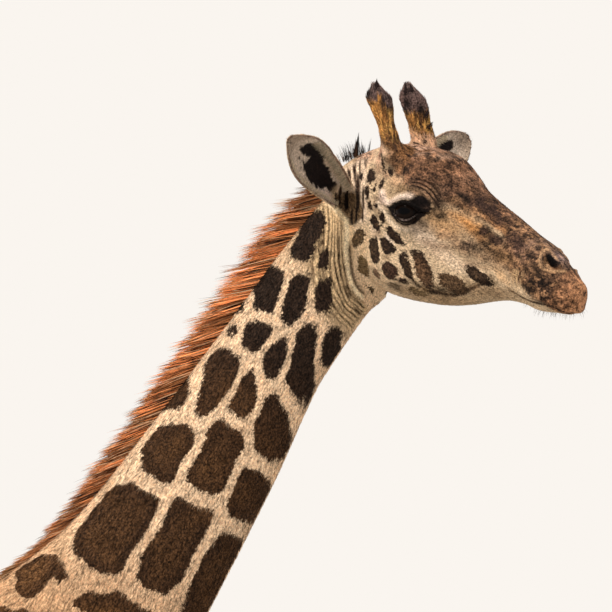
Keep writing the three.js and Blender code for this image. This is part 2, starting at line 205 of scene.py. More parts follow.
# Tones of the larger patches, in the same way as those of the face below.
PATCH_TONES = [
    (0.149, -0.197, 0.030, 0.024, 90, 118, 96, 66, 1), (0.130, -0.140, 0.032, 0.020, 65, 84, 66, 45, 1),
    (0.182, -0.149, 0.030, 0.018, 116, 56, 42, 30, 1),
    (0.279, -0.160, 0.040, 0.015, 131, 52, 39, 28, 0.9),
    (0.304, -0.158, 0.036, 0.019, 123, 98, 72, 52, 1), (0.370, -0.154, 0.044, 0.028, 4, 92, 70, 50, 1),
    (0.234, -0.179, 0.026, 0.026, 0, 68, 48, 37, 0.9), (0.195, -0.198, 0.016, 0.016, 0, 118, 92, 74, 1),
    (0.242, -0.208, 0.020, 0.013, 19, 116, 98, 76, 1), (0.294, -0.205, 0.024, 0.014, 3, 118, 96, 68, 1),
    (0.160, -0.247, 0.022, 0.016, 0, 84, 68, 47, 1), (0.424, -0.119, 0.030, 0.016, 0, 58, 43, 31, 0.8),
]
# Tones of the face: forward, up, half length, half height, turn, red, green, blue, how far they cover.
FACE_TONES = [
    (0.270, -0.070, 0.060, 0.018, 0, 150, 128, 108, 0.9),
    (0.300, -0.086, 0.036, 0.018, -10, 212, 188, 164, 0.9),
    (0.335, -0.098, 0.040, 0.016, -14, 178, 144, 116, 0.8),
    (0.372, -0.112, 0.052, 0.017, -16, 236, 208, 178, 0.95),
    (0.410, -0.102, 0.030, 0.011, 0, 156, 127, 102, 0.7),
    (0.470, -0.078, 0.040, 0.020, -10, 148, 117, 89, 0.85),
    (0.330, -0.046, 0.050, 0.020, -8, 178, 138, 98, 0.9),
    (0.313, -0.028, 0.024, 0.014, 0, 146, 116, 84, 0.8),
    (0.385, -0.074, 0.044, 0.016, -6, 128, 100, 76, 0.85),
    (0.345, -0.018, 0.030, 0.012, -8, 186, 143, 102, 0.9),
    (0.388, -0.030, 0.042, 0.015, -12, 198, 140, 84, 1),
    (0.455, -0.050, 0.034, 0.016, -14, 150, 110, 74, 0.9),
    (0.413, -0.047, 0.013, 0.010, 30, 84, 60, 38, 1), (0.436, -0.058, 0.011, 0.009, 0, 92, 66, 42, 0.9),
    (0.503, -0.050, 0.020, 0.018, 0, 120, 93, 69, 0.8),
    (0.250, -0.003, 0.050, 0.012, 4, 138, 114, 90, 0.9),
    (0.196, 0.014, 0.022, 0.016, 20, 226, 184, 146, 0.95),
    (0.205, -0.012, 0.026, 0.010, 10, 206, 180, 148, 0.8),
    (0.159, 0.012, 0.013, 0.010, 0, 140, 110, 88, 0.8),
    # Along the jaw's lower edge: darker fur and painted shade.
    (0.350, -0.200, 0.110, 0.024, 8, 152, 122, 88, 0.8),
    (0.450, -0.150, 0.080, 0.020, 12, 140, 112, 82, 0.8),
    (0.480, -0.103, 0.026, 0.010, -20, 220, 180, 138, 0.9),
    (0.176, -0.112, 0.024, 0.010, 140, 222, 196, 170, 0.8),
    (0.215, -0.112, 0.014, 0.007, 150, 232, 208, 186, 0.8),
    (0.150, -0.155, 0.016, 0.040, 0, 206, 172, 132, 0.5),
    (0.105, -0.160, 0.016, 0.060, 8, 222, 184, 138, 0.7),
]
# Tones laid last, in the same way: over forehead and muzzle as well. They are partly the face's own colour
# and partly painted shade, as under the jaw.
FACE_SHADES = [
    (0.438, -0.056, 0.062, 0.022, -14, 130, 98, 70, 0.7),
    (0.506, -0.036, 0.030, 0.020, -20, 112, 84, 70, 0.6),
    (0.265, 0.060, 0.036, 0.014, 20, 95, 66, 48, 0.65),
    (0.286, 0.040, 0.036, 0.016, 15, 90, 64, 48, 0.75),
    (0.240, 0.024, 0.026, 0.012, 10, 114, 84, 65, 0.7),
    (0.258, 0.008, 0.032, 0.012, 15, 110, 84, 64, 0.85),
    (0.303, 0.022, 0.026, 0.014, 10, 80, 58, 45, 0.8), (0.300, 0.000, 0.022, 0.014, 0, 62, 47, 36, 0.85),
    (0.330, 0.010, 0.016, 0.012, 0, 94, 70, 49, 0.7), (0.305, -0.024, 0.020, 0.010, 0, 96, 75, 55, 0.8),
    (0.165, -0.048, 0.014, 0.018, 0, 130, 104, 85, 0.6),
    (0.170, -0.072, 0.014, 0.012, 0, 112, 88, 64, 0.6), (0.198, -0.060, 0.012, 0.010, 0, 70, 55, 43, 0.7),
    (0.370, -0.002, 0.022, 0.011, -10, 118, 85, 57, 0.7),
    (0.432, -0.006, 0.044, 0.009, -12, 180, 129, 86, 0.9),
    (0.425, -0.031, 0.014, 0.010, 0, 85, 61, 40, 0.9), (0.400, -0.043, 0.018, 0.009, 0, 136, 98, 64, 0.7),
    (0.336, -0.063, 0.026, 0.010, 0, 148, 113, 84, 0.7),
    (0.338, -0.086, 0.020, 0.009, 0, 164, 133, 107, 0.6),
    (0.364, -0.078, 0.018, 0.010, 0, 136, 108, 83, 0.75),
    (0.388, -0.069, 0.016, 0.010, 0, 112, 88, 70, 0.8),
    (0.422, -0.058, 0.026, 0.011, 0, 98, 76, 56, 0.85),
    (0.430, -0.079, 0.030, 0.010, 0, 143, 114, 88, 0.75),
    (0.476, -0.064, 0.024, 0.012, 0, 112, 84, 57, 0.8),
    (0.536, -0.018, 0.024, 0.012, 0, 106, 84, 70, 0.6),
    (0.558, -0.056, 0.030, 0.015, 0, 78, 58, 43, 0.75), (0.600, -0.045, 0.018, 0.010, 0, 83, 63, 49, 0.6),
    (0.447, -0.097, 0.024, 0.008, 0, 163, 132, 102, 0.6),
    (0.398, -0.114, 0.020, 0.010, 0, 162, 133, 108, 0.6),
    (0.221, -0.152, 0.010, 0.012, 0, 120, 92, 66, 0.6),
    (0.251, -0.214, 0.030, 0.010, 0, 110, 89, 64, 0.7),
    (0.253, -0.190, 0.014, 0.010, 0, 106, 87, 66, 0.5),
    (0.454, -0.119, 0.016, 0.010, 0, 115, 90, 66, 0.7),
    (0.403, -0.138, 0.014, 0.009, 0, 126, 103, 79, 0.6),
    (0.350, -0.178, 0.022, 0.009, 0, 74, 56, 38, 0.7), (0.161, 0.050, 0.014, 0.012, 0, 124, 92, 66, 0.7),
    (0.132, 0.015, 0.014, 0.012, 0, 136, 104, 80, 0.6),
    (0.188, 0.036, 0.013, 0.012, 0, 151, 109, 76, 0.7),
    (0.144, -0.005, 0.013, 0.010, 0, 131, 106, 87, 0.5),
    (0.217, -0.003, 0.014, 0.009, 0, 146, 115, 83, 0.7),
    (0.322, 0.056, 0.022, 0.010, -20, 148, 109, 84, 0.7),
    (0.352, 0.042, 0.014, 0.010, -20, 124, 90, 68, 0.6),
    (0.254, 0.084, 0.018, 0.008, 10, 142, 113, 93, 0.7),
    (0.534, -0.090, 0.014, 0.010, 0, 140, 105, 77, 0.6),
    (0.625, -0.059, 0.014, 0.010, 0, 113, 80, 59, 0.6),
    (0.305, -0.195, 0.014, 0.010, 0, 124, 98, 66, 0.5),
    (0.232, -0.074, 0.020, 0.008, 0, 112, 94, 74, 0.6),
    (0.281, -0.056, 0.014, 0.010, 0, 117, 98, 80, 0.6),
    (0.183, -0.114, 0.014, 0.010, 0, 141, 106, 75, 0.5),
]


def srgb(*code):
    """A colour as painters write it, 0 to 255, in linear light."""
    c = np.array(code, float) / 255
    return np.where(c <= 0.04045, c / 12.92, ((c + 0.055) / 1.055) ** 2.4)


CREAM = srgb(244, 211, 176)
CREAM_FACE = srgb(222, 194, 160)
PATCH = srgb(70, 47, 29)
PATCH_FACE = srgb(40, 28, 21)
MANE_BROWN = srgb(236, 152, 94)
BLACK_HAIR = srgb(30, 22, 20)
MANE_LOCK = 0.014  # how far apart along the neck the mane's locks follow each other
SHORTEST_HAIR = 0.0012  # shorter ones are left out
ROOT_DEPTH = 0.0004  # of the short coat under the skin
ROOT_SHADE, TIP_SHADE = 0.82, 1.12  # of a hair's own colour


# ---------------------------------------------------------------- frames of reference
def turn(axis, degrees):
    c, s = math.cos(math.radians(degrees)), math.sin(math.radians(degrees))
    rows = {"x": [[1, 0, 0], [0, c, -s], [0, s, c]], "y": [[c, 0, s], [0, 1, 0], [-s, 0, c]]}
    return np.array(rows.get(axis, [[c, -s, 0], [s, c, 0], [0, 0, 1]]))


HEAD_TURN = turn("z", HEAD_YAW) @ turn("y", HEAD_PITCH) @ turn("x", HEAD_ROLL)
eye_middle = np.mean([np.mean([list(c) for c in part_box(n)], 0) for n in ("eye_left", "eye_right")], 0)
POLL = eye_middle - HEAD_TURN @ (EYE_AT * [1, 0, 1])
ORIGIN = POLL - [0, 0, POLL_HEIGHT * MM]
DOWN_NECK = np.array([-math.cos(NECK_LEAN), 0, -math.sin(NECK_LEAN)])
TO_THROAT = np.array([math.sin(NECK_LEAN), 0, -math.cos(NECK_LEAN)])
SIDES = {"left": 1, "right": -1}
SIDE_NAME = {side: name for name, side in SIDES.items()}
rng = np.random.default_rng(SEED)


def unit(v):
    return v / np.maximum(np.linalg.norm(v, axis=-1, keepdims=True), 1e-12)


def smooth(x, low, high):
    """0 below low, 1 above high, with a soft rise between; low may be the larger."""
    t = np.clip((x - low) / (high - low), 0, 1)
    return t * t * (3 - 2 * t)


def to_head(p):
    return (p - POLL) @ HEAD_TURN


def from_head(q):
    return POLL + q @ HEAD_TURN.T


def lines_from_head(lines):
    return from_head(lines.reshape(-1, 3)).reshape(lines.shape)


def flipped(q, side):
    """Places with their leftward part times side, a number for each."""
    return q * np.stack([np.ones(len(side)), side, np.ones(len(side))], 1)


def on_left(q):
    """Places of either side given as of the left one."""
    return np.stack([q[:, 0], np.abs(q[:, 1]), q[:, 2]], 1)


def to_neck(p):
    """Down the neck from the poll, towards the throat, and to the left."""
    r = p - POLL
    return r @ DOWN_NECK, r @ TO_THROAT, r[:, 1]


def noise(p, size, seed=0):
    """Smooth noise between -1 and 1 whose features are about size across."""
    q = p / size + seed * 17.3
    cell = np.floor(q).astype(np.int64)
    f = q - cell
    f = f * f * (3 - 2 * f)
    total = 0
    for dx in (0, 1):
        for dy in (0, 1):
            for dz in (0, 1):
                corner = cell + [dx, dy, dz]
                h = corner[:, 0] * 73856093 ^ corner[:, 1] * 19349663 ^ corner[:, 2] * 83492791
                h = ((h ^ (h >> 13)) * 1274126177) & 0x7FFFFFFF
                value = (h >> 8) % 65536 / 32768 - 1
                weight = np.where(dx, f[:, 0], 1 - f[:, 0]) * np.where(dy, f[:, 1], 1 - f[:, 1])
                total = total + value * weight * np.where(dz, f[:, 2], 1 - f[:, 2])
    return total


# ---------------------------------------------------------------- making meshes
def spline(points, t):
    p = np.vstack([2 * points[0] - points[1], points, 2 * points[-1] - points[-2]])
    u = np.clip(t, 0, 1) * (len(p) - 3)
    i = np.minimum(u.astype(int), len(p) - 4)
    w = (u - i)[:, None]
    a, b, c, d = p[i], p[i + 1], p[i + 2], p[i + 3]
    return 0.5 * (2 * b + (c - a) * w + (2 * a - 5 * b + 4 * c - d) * w**2 + (3 * b - 3 * c + d - a) * w**3)


def closed_rows(rows, sheet=False):
    """Vertices and faces of a closed surface through rings of points; a sheet's rings go there and back."""
    rings, sides = len(rows), len(rows[0])
    verts = np.vstack([*rows, rows[0].mean(0), rows[-1].mean(0)])
    first, last = rings * sides, rings * sides + 1
    faces = []
    for r in range(rings - 1):
        for i in range(sides):
            j = (i + 1) % sides
            faces.append((r * sides + i, r * sides + j, (r + 1) * sides + j, (r + 1) * sides + i))
    end = (rings - 1) * sides
    if sheet:
        for i in range(sides // 2 - 1):
            j = sides - 1 - i
            faces.append((i, i + 1, j - 1, j))
            faces.append((end + i, end + j, end + j - 1, end + i + 1))
        return verts[:-2], faces
    for i in range(sides):
        j = (i + 1) % sides
        faces.append((first, j, i))
        faces.append((last, end + i, end + j))
    return verts, faces


def loft(table, sides, steps, caps=(0, 0), inset=0.0):
    """A body of oval sections with rounded ends, in metres."""
    table = np.array(table, float)
    y, splay = table[:, 7], table[:, 8]
    tops = np.stack([table[:, 0], y + splay, table[:, 1]], 1)
    bottoms = np.stack([table[:, 2], y - splay, table[:, 3]], 1)
    shapes = table[:, 4:7]
    angle = 2 * math.pi * np.arange(sides) / sides

    def section(t, scale, push):
        time = np.array([t])
        top, bottom, shape = spline(tops, time)[0], spline(bottoms, time)[0], spline(shapes, time)[0]
        before, after = spline(tops, np.array([max(t - 0.01, 0), min(t + 0.01, 1)]))
        long = top - bottom
        ahead = unit(np.array([-long[2], 0, long[0]]))
        if ahead @ (after - before) < 0:
            ahead = -ahead
        c, s = np.cos(angle), np.sin(angle)
        power = 2 / shape[2]
        rise = np.sign(s) * np.abs(s) ** power * np.where(s > 0, 1 - shape[1], shape[1])
        rise *= 1 - 2 * inset / np.linalg.norm(long)
        across = np.sign(c) * np.abs(c) ** power * (shape[0] / 2 - inset)
        ring = bottom + long * (shape[1] + rise * scale)[:, None] + ahead * push
        ring[:, 1] += across * scale
        return ring * MM

    rounds = 8
    rows = []
    for k in range(1, rounds):
        a = math.pi / 2 * k / rounds
        if caps[0]:
            rows.append(section(0, math.sin(a), -caps[0] * math.cos(a) + inset * math.cos(a)))
    rows += [section(k / steps, 1, 0) for k in range(steps + 1)]
    for k in range(rounds - 1, 0, -1):
        a = math.pi / 2 * k / rounds
        if caps[1]:
            rows.append(section(1, math.sin(a), (caps[1] - inset) * math.cos(a)))
    return closed_rows(rows)


def ball(centre, radii, sides=32, rings=20):
    rows = []
    for k in range(1, rings):
        a = math.pi * k / rings
        b = 2 * math.pi * np.arange(sides) / sides
        ring = [np.cos(b) * math.sin(a), np.sin(b) * math.sin(a), np.full(sides, math.cos(a))]
        rows.append(np.array(centre) + np.stack(ring, 1) * radii)
    return closed_rows(rows)


def mirrored(shape):
    verts, faces = shape
    return verts * [1, -1, 1], [f[::-1] for f in faces]


def placed(shape, place):
    return place(shape[0]), shape[1]


def in_body(verts):
    return ORIGIN + verts


def joined(shapes):
    verts, faces, count = [], [], 0
    for v, f in shapes:
        verts.append(v)
        faces += [tuple(i + count for i in face) for face in f]
        count += len(v)
    return np.vstack(verts), faces


def linked(name, data):
    ob = bpy.data.objects.new(name, data)
    bpy.context.scene.collection.objects.link(ob)
    return ob


def new_object(name, verts, faces):
    mesh = bpy.data.meshes.new(name)
    mesh.from_pydata(verts.tolist(), [], faces)
    mesh.update()
    return linked(name, mesh)


def fix_normals(ob):
    bm = bmesh.new()
    bm.from_mesh(ob.data)
    bmesh.ops.recalc_face_normals(bm, faces=bm.faces)
    bm.to_mesh(ob.data)
    bm.free()


def remeshed(name, shapes, voxel):
    verts, faces = joined(shapes)
    ob = new_object(name, verts, faces)
    bpy.context.view_layer.objects.active = ob
    ob.data.remesh_voxel_size = voxel
    bpy.ops.object.voxel_remesh()
    return ob


def numbers_of(items, name, width, kind):
    """One value of each item of a mesh, as rows of a table."""
    found = np.empty(len(items) * width, kind)
    items.foreach_get(name, found)
    return found.reshape(-1, width)


def coordinates(mesh):
    return numbers_of(mesh.vertices, "co", 3, np.float32).astype(float)


def set_coordinates(mesh, verts):
    mesh.vertices.foreach_set("co", verts.astype(np.float32).ravel())
    mesh.update()


def normals_of(mesh):
    return numbers_of(mesh.vertex_normals, "vector", 3, np.float32).astype(float)


def edges_of(mesh):
    return numbers_of(mesh.edges, "vertices", 2, np.int32)


def triangles_of(mesh):
    mesh.calc_loop_triangles()
    return numbers_of(mesh.loop_triangles, "vertices", 3, np.int32)


def smooth_shaded(ob):
    ob.data.polygons.foreach_set("use_smooth", np.ones(len(ob.data.polygons), bool))


def relax(verts, edges, weight, rounds):
    """Moves each vertex towards its neighbours' mean by its own weight, round after round."""
    a, b = edges[:, 0], edges[:, 1]
    total = len(verts)
    count = np.maximum(np.bincount(a, minlength=total) + np.bincount(b, minlength=total), 1)[:, None]
    for _ in range(rounds):
        sums = [np.bincount(a, verts[b, k], total) + np.bincount(b, verts[a, k], total) for k in range(3)]
        verts = verts + (np.stack(sums, 1) / count - verts) * weight[:, None]
    return verts


# ---------------------------------------------------------------- ears
EAR_ROOT = np.array([60, 96, -65]) * MM
EAR_LENGTH = 0.270
EAR_AXIS = unit(np.array([0.02, 0.884, 0.467]))
EAR_OPENING = unit(np.array([1, 0.16, -0.1]) - EAR_AXIS * (np.array([1, 0.16, -0.1]) @ EAR_AXIS))
EAR_BROAD = np.cross(EAR_OPENING, EAR_AXIS)
EAR_ROLL = math.radians(38)  # how far the left ear is turned back about its own length
EAR_MIDDLE = 0.0045  # from the cup's inner arc to the middle of its wall
EAR_WALL = 0.0032  # half its thickness


def ear_leaf(s):
    """Radius and half angle of the cup's inner arc at the share s of its length."""
    s = np.clip(s, 0, 1)
    half = 0.0215 + 0.0245 * np.sin(math.pi * s**1.3)
    tip = np.sqrt(1 - np.clip((s - 0.74) / 0.26, 0, 1) ** 2)
    roll = np.radians(120 - 78 * np.clip(s * 2.2, 0, 1))
    return half * np.maximum(tip, 0.12) / np.sin(np.minimum(roll, math.pi / 2)), roll


def ear_frame(rolled):
    """Out of the cup, and across it to its upper edge; rolled is 1 for the left ear, 0 for the right."""
    c, s = np.reshape(np.cos(EAR_ROLL * rolled), (-1, 1)), np.reshape(np.sin(EAR_ROLL * rolled), (-1, 1))
    return EAR_OPENING * c + EAR_BROAD * s, EAR_BROAD * c - EAR_OPENING * s


def ear_local(q, rolled):
    """In the cup: share of its length, share of the half angle, height over its wall, and place across."""
    v = q - EAR_ROOT
    opening, broad = ear_frame(rolled * 1.0)
    s = v @ EAR_AXIS / EAR_LENGTH
    b, o = np.sum(v * broad, 1), np.sum(v * opening, 1)
    radius, roll = ear_leaf(s)
    angle = np.arctan2(b, radius - o)
    return s, angle / roll, radius + EAR_MIDDLE - np.hypot(b, radius - o), b


def ear_point(s, share, depth, rolled):
    """Points of the cup's wall, depth metres outwards from its middle."""
    radius, roll = ear_leaf(s)
    opening, broad = ear_frame(rolled * 1.0)
    angle, r = share * roll, radius + EAR_MIDDLE + depth
    across = broad * np.reshape(r * np.sin(angle), (-1, 1))
    return (EAR_ROOT + EAR_AXIS * np.reshape(EAR_LENGTH * s, (-1, 1)) + across
            + opening * np.reshape(radius - r * np.cos(angle), (-1, 1)))


def ear_shape(rolled):
    rows = []
    for s in np.linspace(-0.14, 0.995, 61):
        share = np.linspace(-1, 1, 25)
        wall = EAR_WALL if s < 0.9 else EAR_WALL * (1 - (s - 0.9) * 4)
        there = ear_point(np.full(25, s), share, -wall, rolled)
        back = ear_point(np.full(25, s), share[::-1], wall, rolled)
        rows.append(np.vstack([there, back]))
    return closed_rows(rows, sheet=True)


# ---------------------------------------------------------------- the skin
def body_shapes():
    fore, hind = loft(FORELEG, 28, 90, (70, 0), BODY_INSET), loft(HINDLEG, 28, 90, (70, 0), BODY_INSET)
    shapes = [loft(TRUNK, 48, 60, (90, 90), BODY_INSET), loft(NECK, 64, 90, (60, 40), BODY_INSET)]
    shapes += [fore, mirrored(fore), hind, mirrored(hind), loft(TAIL, 16, 50, (20, 8), 2)]
    return [placed(s, in_body) for s in shapes]


def head_shapes():
    orbit = ball(EYE_AT + [0.001, -0.020, 0.021], np.array([0.058, 0.034, 0.044]))
    cheek = ball([0.225, 0.052, -0.145], np.array([0.095, 0.040, 0.072]))
    stem = loft(OSSICONE[:3], 32, 30, (10, 0), STEM_INSET)
    shapes = [loft(HEAD, 64, 120, (30, 30), HEAD_INSET)]
    for shape in (orbit, cheek, stem):
        shapes += [shape, mirrored(shape)]
    shapes += [ear_shape(1), mirrored(ear_shape(0))]
    neck = loft(NECK[3:], 64, 50, (20, 40), BODY_INSET)
    return [placed(s, from_head) for s in shapes] + [placed(neck, in_body)]


def cut_away(ob, point, normal):
    """Keeps the part of a mesh behind a plane and leaves its rim open."""
    bm = bmesh.new()
    bm.from_mesh(ob.data)
    parts = bm.verts[:] + bm.edges[:] + bm.faces[:]
    bmesh.ops.bisect_plane(bm, geom=parts, plane_co=point, plane_no=normal, clear_outer=True)
    bm.to_mesh(ob.data)
    bm.free()


def one_skin():
    body = remeshed("body_shape", body_shapes(), BODY_VOXEL)
    head = remeshed("head_shape", head_shapes(), HEAD_VOXEL)
    verts = coordinates(body.data)
    height = verts[:, 2]
    loose = smooth(height, 1.45, 1.85) * smooth(to_neck(verts)[0], 0.9, 1.3) * (1 - tail_share(verts))
    verts = relax(verts, edges_of(body.data), 0.06 + 0.54 * loose, 40)
    set_coordinates(body.data, verts)
    verts = coordinates(head.data)
    calm = 0.45 * (1 - 0.8 * ear_share(verts))
    verts = relax(verts, edges_of(head.data), calm, 14)
    q = to_head(verts)
    stem_foot = [0.145, SPREAD * MM, 0.048]
    away = np.linalg.norm(on_left(q) - stem_foot, axis=1)
    verts = relax(verts, edges_of(head.data), 0.55 * smooth(away, 0.062, 0.040), 60)
    set_coordinates(head.data, verts)
    seam = POLL + DOWN_NECK * SEAM
    gap = 0.006
    cut_away(body, seam + DOWN_NECK * gap, -DOWN_NECK)
    cut_away(head, seam - DOWN_NECK * gap, DOWN_NECK)
    bm = bmesh.new()
    bm.from_mesh(body.data)
    bm.from_mesh(head.data)
    rim = [e for e in bm.edges if e.is_boundary]
    bmesh.ops.bridge_loops(bm, edges=rim)
    bmesh.ops.triangulate(bm, faces=[f for f in bm.faces if len(f.verts) > 4])
    refine(bm)
    body.data.clear_geometry()
    bm.to_mesh(body.data)
    bm.free()
    bpy.data.objects.remove(head)
    body.name = body.data.name = "skin"
    verts = coordinates(body.data)
    near = np.exp(-((to_neck(verts)[0] - SEAM) / 0.04) ** 2) * (np.abs(to_neck(verts)[2]) < 0.2)
    verts = relax(verts, edges_of(body.data), 0.5 * near, 12)
    set_coordinates(body.data, verts)
    return body


def refine(bm):
    """Halves the mesh once or twice where the eyes, nostrils and lips need it."""
    spots = [(EYE_AT, 0.098, 0.072), ((0.583, 0.046, -0.040), 0.052, 0.034)]
    for level_index in range(2):
        places = np.array([v.co[:] for v in bm.verts])
        q = on_left(to_head(places))
        near = np.zeros(len(q), bool)
        for centre, *radii in spots:
            near |= np.linalg.norm(q - centre, axis=1) < radii[level_index]
        if level_index == 0:
            near |= (mouth_distance(q) < 0.014) & (q[:, 0] > 0.40)
            near |= np.maximum(*cords(places, q)[1:]) > 0.2
            from_fold = np.abs(line_distance(q[:, 0], q[:, 2], JAW_FOLD))
            near |= (from_fold < 0.012) & (q[:, 0] > 0.25) & (q[:, 1] > 0.02)
            near |= spot(q[:, 0], q[:, 2], *LIP_WRINKLES) > 0.2
        chosen = [e for e in bm.edges if near[e.verts[0].index] and near[e.verts[1].index]]
        bmesh.ops.subdivide_edges(bm, edges=chosen, cuts=1, use_grid_fill=True)
        bm.verts.index_update()


# Seen from the right: forward and up from the poll.
THROAT_LINE = np.array([(-0.0068, 0.05), (-0.0068, -0.2274), (-0.0025, -0.2551), (0.0039, -0.2763),
                        (0.0145, -0.2933), (0.045, -0.325), (0.09, -0.365)])
EAR_FOOT_LINE = np.array([(-0.12, -0.05), (-0.0419, -0.1061), (-0.0259, -0.1221), (-0.010, -0.1402),
                          (0.03, -0.165)])
TENDON = np.array([(-0.0419, -0.1061), (-0.0259, -0.1221), (-0.0100, -0.1402), (-0.0068, -0.1636),
                   (-0.0089, -0.2019), (-0.0068, -0.2274), (-0.0025, -0.2551), (0.0039, -0.2763),
                   (0.0145, -0.2933), (0.045, -0.318)])
CHEEK_RIDGE = np.array([(0.27, -0.085), (0.40, -0.083)])
# From the eye's middle, forward and up as seen from beside: the pale ridge of the upper lid, the rims of
# the dark skin round the eye, with painted shade of brow and lashes over its front, and the wrinkles over
# its front half.
LID_RIDGE = np.array([(-0.053, 0.041), (-0.049, 0.025), (-0.041, 0.017), (-0.030, 0.021), (-0.017, 0.029),
                      (-0.001, 0.031), (0.013, 0.028)])
DARK_RIM_TOP = np.array([(-0.052, 0.016), (-0.043, 0.011), (-0.036, 0.012), (-0.027, 0.017),
                         (-0.012, 0.023), (0.004, 0.023), (0.011, 0.025), (0.015, 0.030), (0.024, 0.033),
                         (0.035, 0.030), (0.045, 0.022), (0.049, 0.013), (0.050, 0.004)])
DARK_RIM_FOOT = np.array([(-0.052, 0.016), (-0.042, 0.008), (-0.037, 0.000), (-0.032, -0.011),
                          (-0.023, -0.021), (-0.011, -0.028), (0.001, -0.031), (0.017, -0.027),
                          (0.030, -0.016), (0.044, -0.006), (0.050, 0.004)])
WRINKLES = [
    np.array([(0.008, 0.053), (0.023, 0.050), (0.038, 0.043), (0.049, 0.031), (0.058, 0.020),
              (0.067, 0.008)]),
    np.array([(0.011, 0.060), (0.026, 0.058), (0.042, 0.050), (0.055, 0.037), (0.064, 0.023)]),
    np.array([(0.018, 0.067), (0.035, 0.064), (0.051, 0.055), (0.063, 0.042), (0.071, 0.029)]),
]
JAW_FOLD = np.array([(0.24, -0.155), (0.265, -0.178), (0.313, -0.194), (0.376, -0.183), (0.414, -0.154),
                     (0.432, -0.138), (0.471, -0.125), (0.50, -0.121)])
MOUTH = np.array([(0.492, -0.122), (0.510, -0.128), (0.540, -0.132), (0.570, -0.131), (0.600, -0.126),
                  (0.625, -0.126), (0.652, -0.130), (0.68, -0.131)])
LIP_WRINKLES = (0.596, -0.084, 0.042, 0.017)  # middle, forward and up, and how far they reach


def line_distance(x, z, line):
    """Signed distance above a line of points in the plane of symmetry."""
    best = np.full(len(x), 9.0)
    sign = np.ones(len(x))
    for (x0, z0), (x1, z1) in zip(line[:-1], line[1:]):
        dx, dz = x1 - x0, z1 - z0
        t = np.clip(((x - x0) * dx + (z - z0) * dz) / (dx * dx + dz * dz), 0, 1)
        d = np.hypot(x - x0 - t * dx, z - z0 - t * dz)
        side = np.sign((z - z0) * dx - (x - x0) * dz)
        closer = d < best
        best = np.where(closer, d, best)
        sign = np.where(closer, side, sign)
    return best * sign


def mouth_distance(q):
    return np.abs(line_distance(q[:, 0], q[:, 2], MOUTH))


def tail_share(p):
    x = p[:, 0] - ORIGIN[0]
    return smooth(x, -2.36, -2.43) * (np.abs(p[:, 1] - ORIGIN[1]) < 0.08) * smooth(p[:, 2], 2.24, 2.18)


def ear_share(p):
    """1 on the ears and 0 on the head."""
    q = to_head(p)
    s, share, height, _ = ear_local(on_left(q), q[:, 1] > 0)
    on = (np.abs(height) < 0.014) & (np.abs(share) < 1.4) & (s < 1.1)
    return np.where(on, smooth(s, 0.02, 0.12), 0.0)


def head_share(p):
    """1 on the head and 0 on the neck."""
    r = p - POLL
    facing = turn("z", HEAD_YAW / 2) @ np.array([0.894, 0, 0.447])
    return smooth((r - [-0.040, 0, -0.105]) @ facing, -0.03, 0.03)


def groove(d, width):
    return np.exp(-((d / width) ** 2))


def eye_frame():
    """Out of the eye, along its slit towards the nose, and up across it."""
    out = unit(EYE_AXIS)
    ahead = unit(np.array([out[1], -out[0], 0]))
    above = np.cross(ahead, out)
    lean = math.radians(13)
    c, s = math.cos(lean), math.sin(lean)
    return out, ahead * c + above * s, above * c - ahead * s


def eye_plane(q):
    """Places from the eye's middle in its own frame: along the slit, across it and out."""
    out, ahead, above = eye_frame()
    d = q - EYE_AT
    return d @ ahead, d @ above, d @ out


def eye_angles(q):
    """Degrees forward and up from the eye's middle."""
    u, v, w = eye_plane(q)
    return np.degrees(np.arctan2(u, w)), np.degrees(np.arctan2(v, w))


def eye_view(q):
    """How far forward of the eye's middle and above it places lie, as seen from beside."""
    d = ((q - EYE_AT) * [1, -1, 1]) @ HEAD_TURN.T
    return d[:, 0], d[:, 2]


def shape_eye(q):
    """Lids over the eyeball: points near it go on to the lid, and those in its opening behind the ball."""
    _, _, w = eye_plane(q)
    far = np.linalg.norm(q - EYE_AT, axis=1)
    way = (q - EYE_AT) / far[:, None]
    a, b = eye_angles(q)
    edge = eye_edge(a, b)
    lid = EYE_RADIUS + 0.0028 + 0.0012 * groove(edge - 1.10, 0.07)
    lid = lid + 0.0016 * (b > 0) * groove(edge - 1.2, 0.2)
    outside = smooth(edge, 2.3, 1.25)
    inside = smooth(edge, 1.03, 0.93)
    radius = far + (lid - far) * outside * (far < 0.055)
    radius = radius + (EYE_RADIUS - 0.006 - radius) * inside
    crease = groove(edge - 1.62, 0.10) * (b > -5) * 0.0022 + groove(edge - 1.45, 0.09) * (b < -8) * 0.0010
    radius = radius - crease
    near = (w > 0.02 * far) & (far < 0.075)
    return np.where(near[:, None], EYE_AT + way * radius[:, None], q), np.where(near, edge, 9.0)


def slit(a):
    """Height of the eye's opening a degrees forward of its middle, as a share of the height there."""
    return np.clip(1 - (np.abs(a) / EYE_OPEN[0]) ** 2.6, 0.03, 1) ** 0.6


def eye_edge(a, b):
    """1 on the rim of the eye's opening, less inside it; a and b are degrees forward and up in it."""
    half_height = np.where(b > 0, *EYE_OPEN[1:]) * slit(a)
    return np.maximum(np.abs(b) / half_height, (np.abs(a) / EYE_OPEN[0]) ** 2)


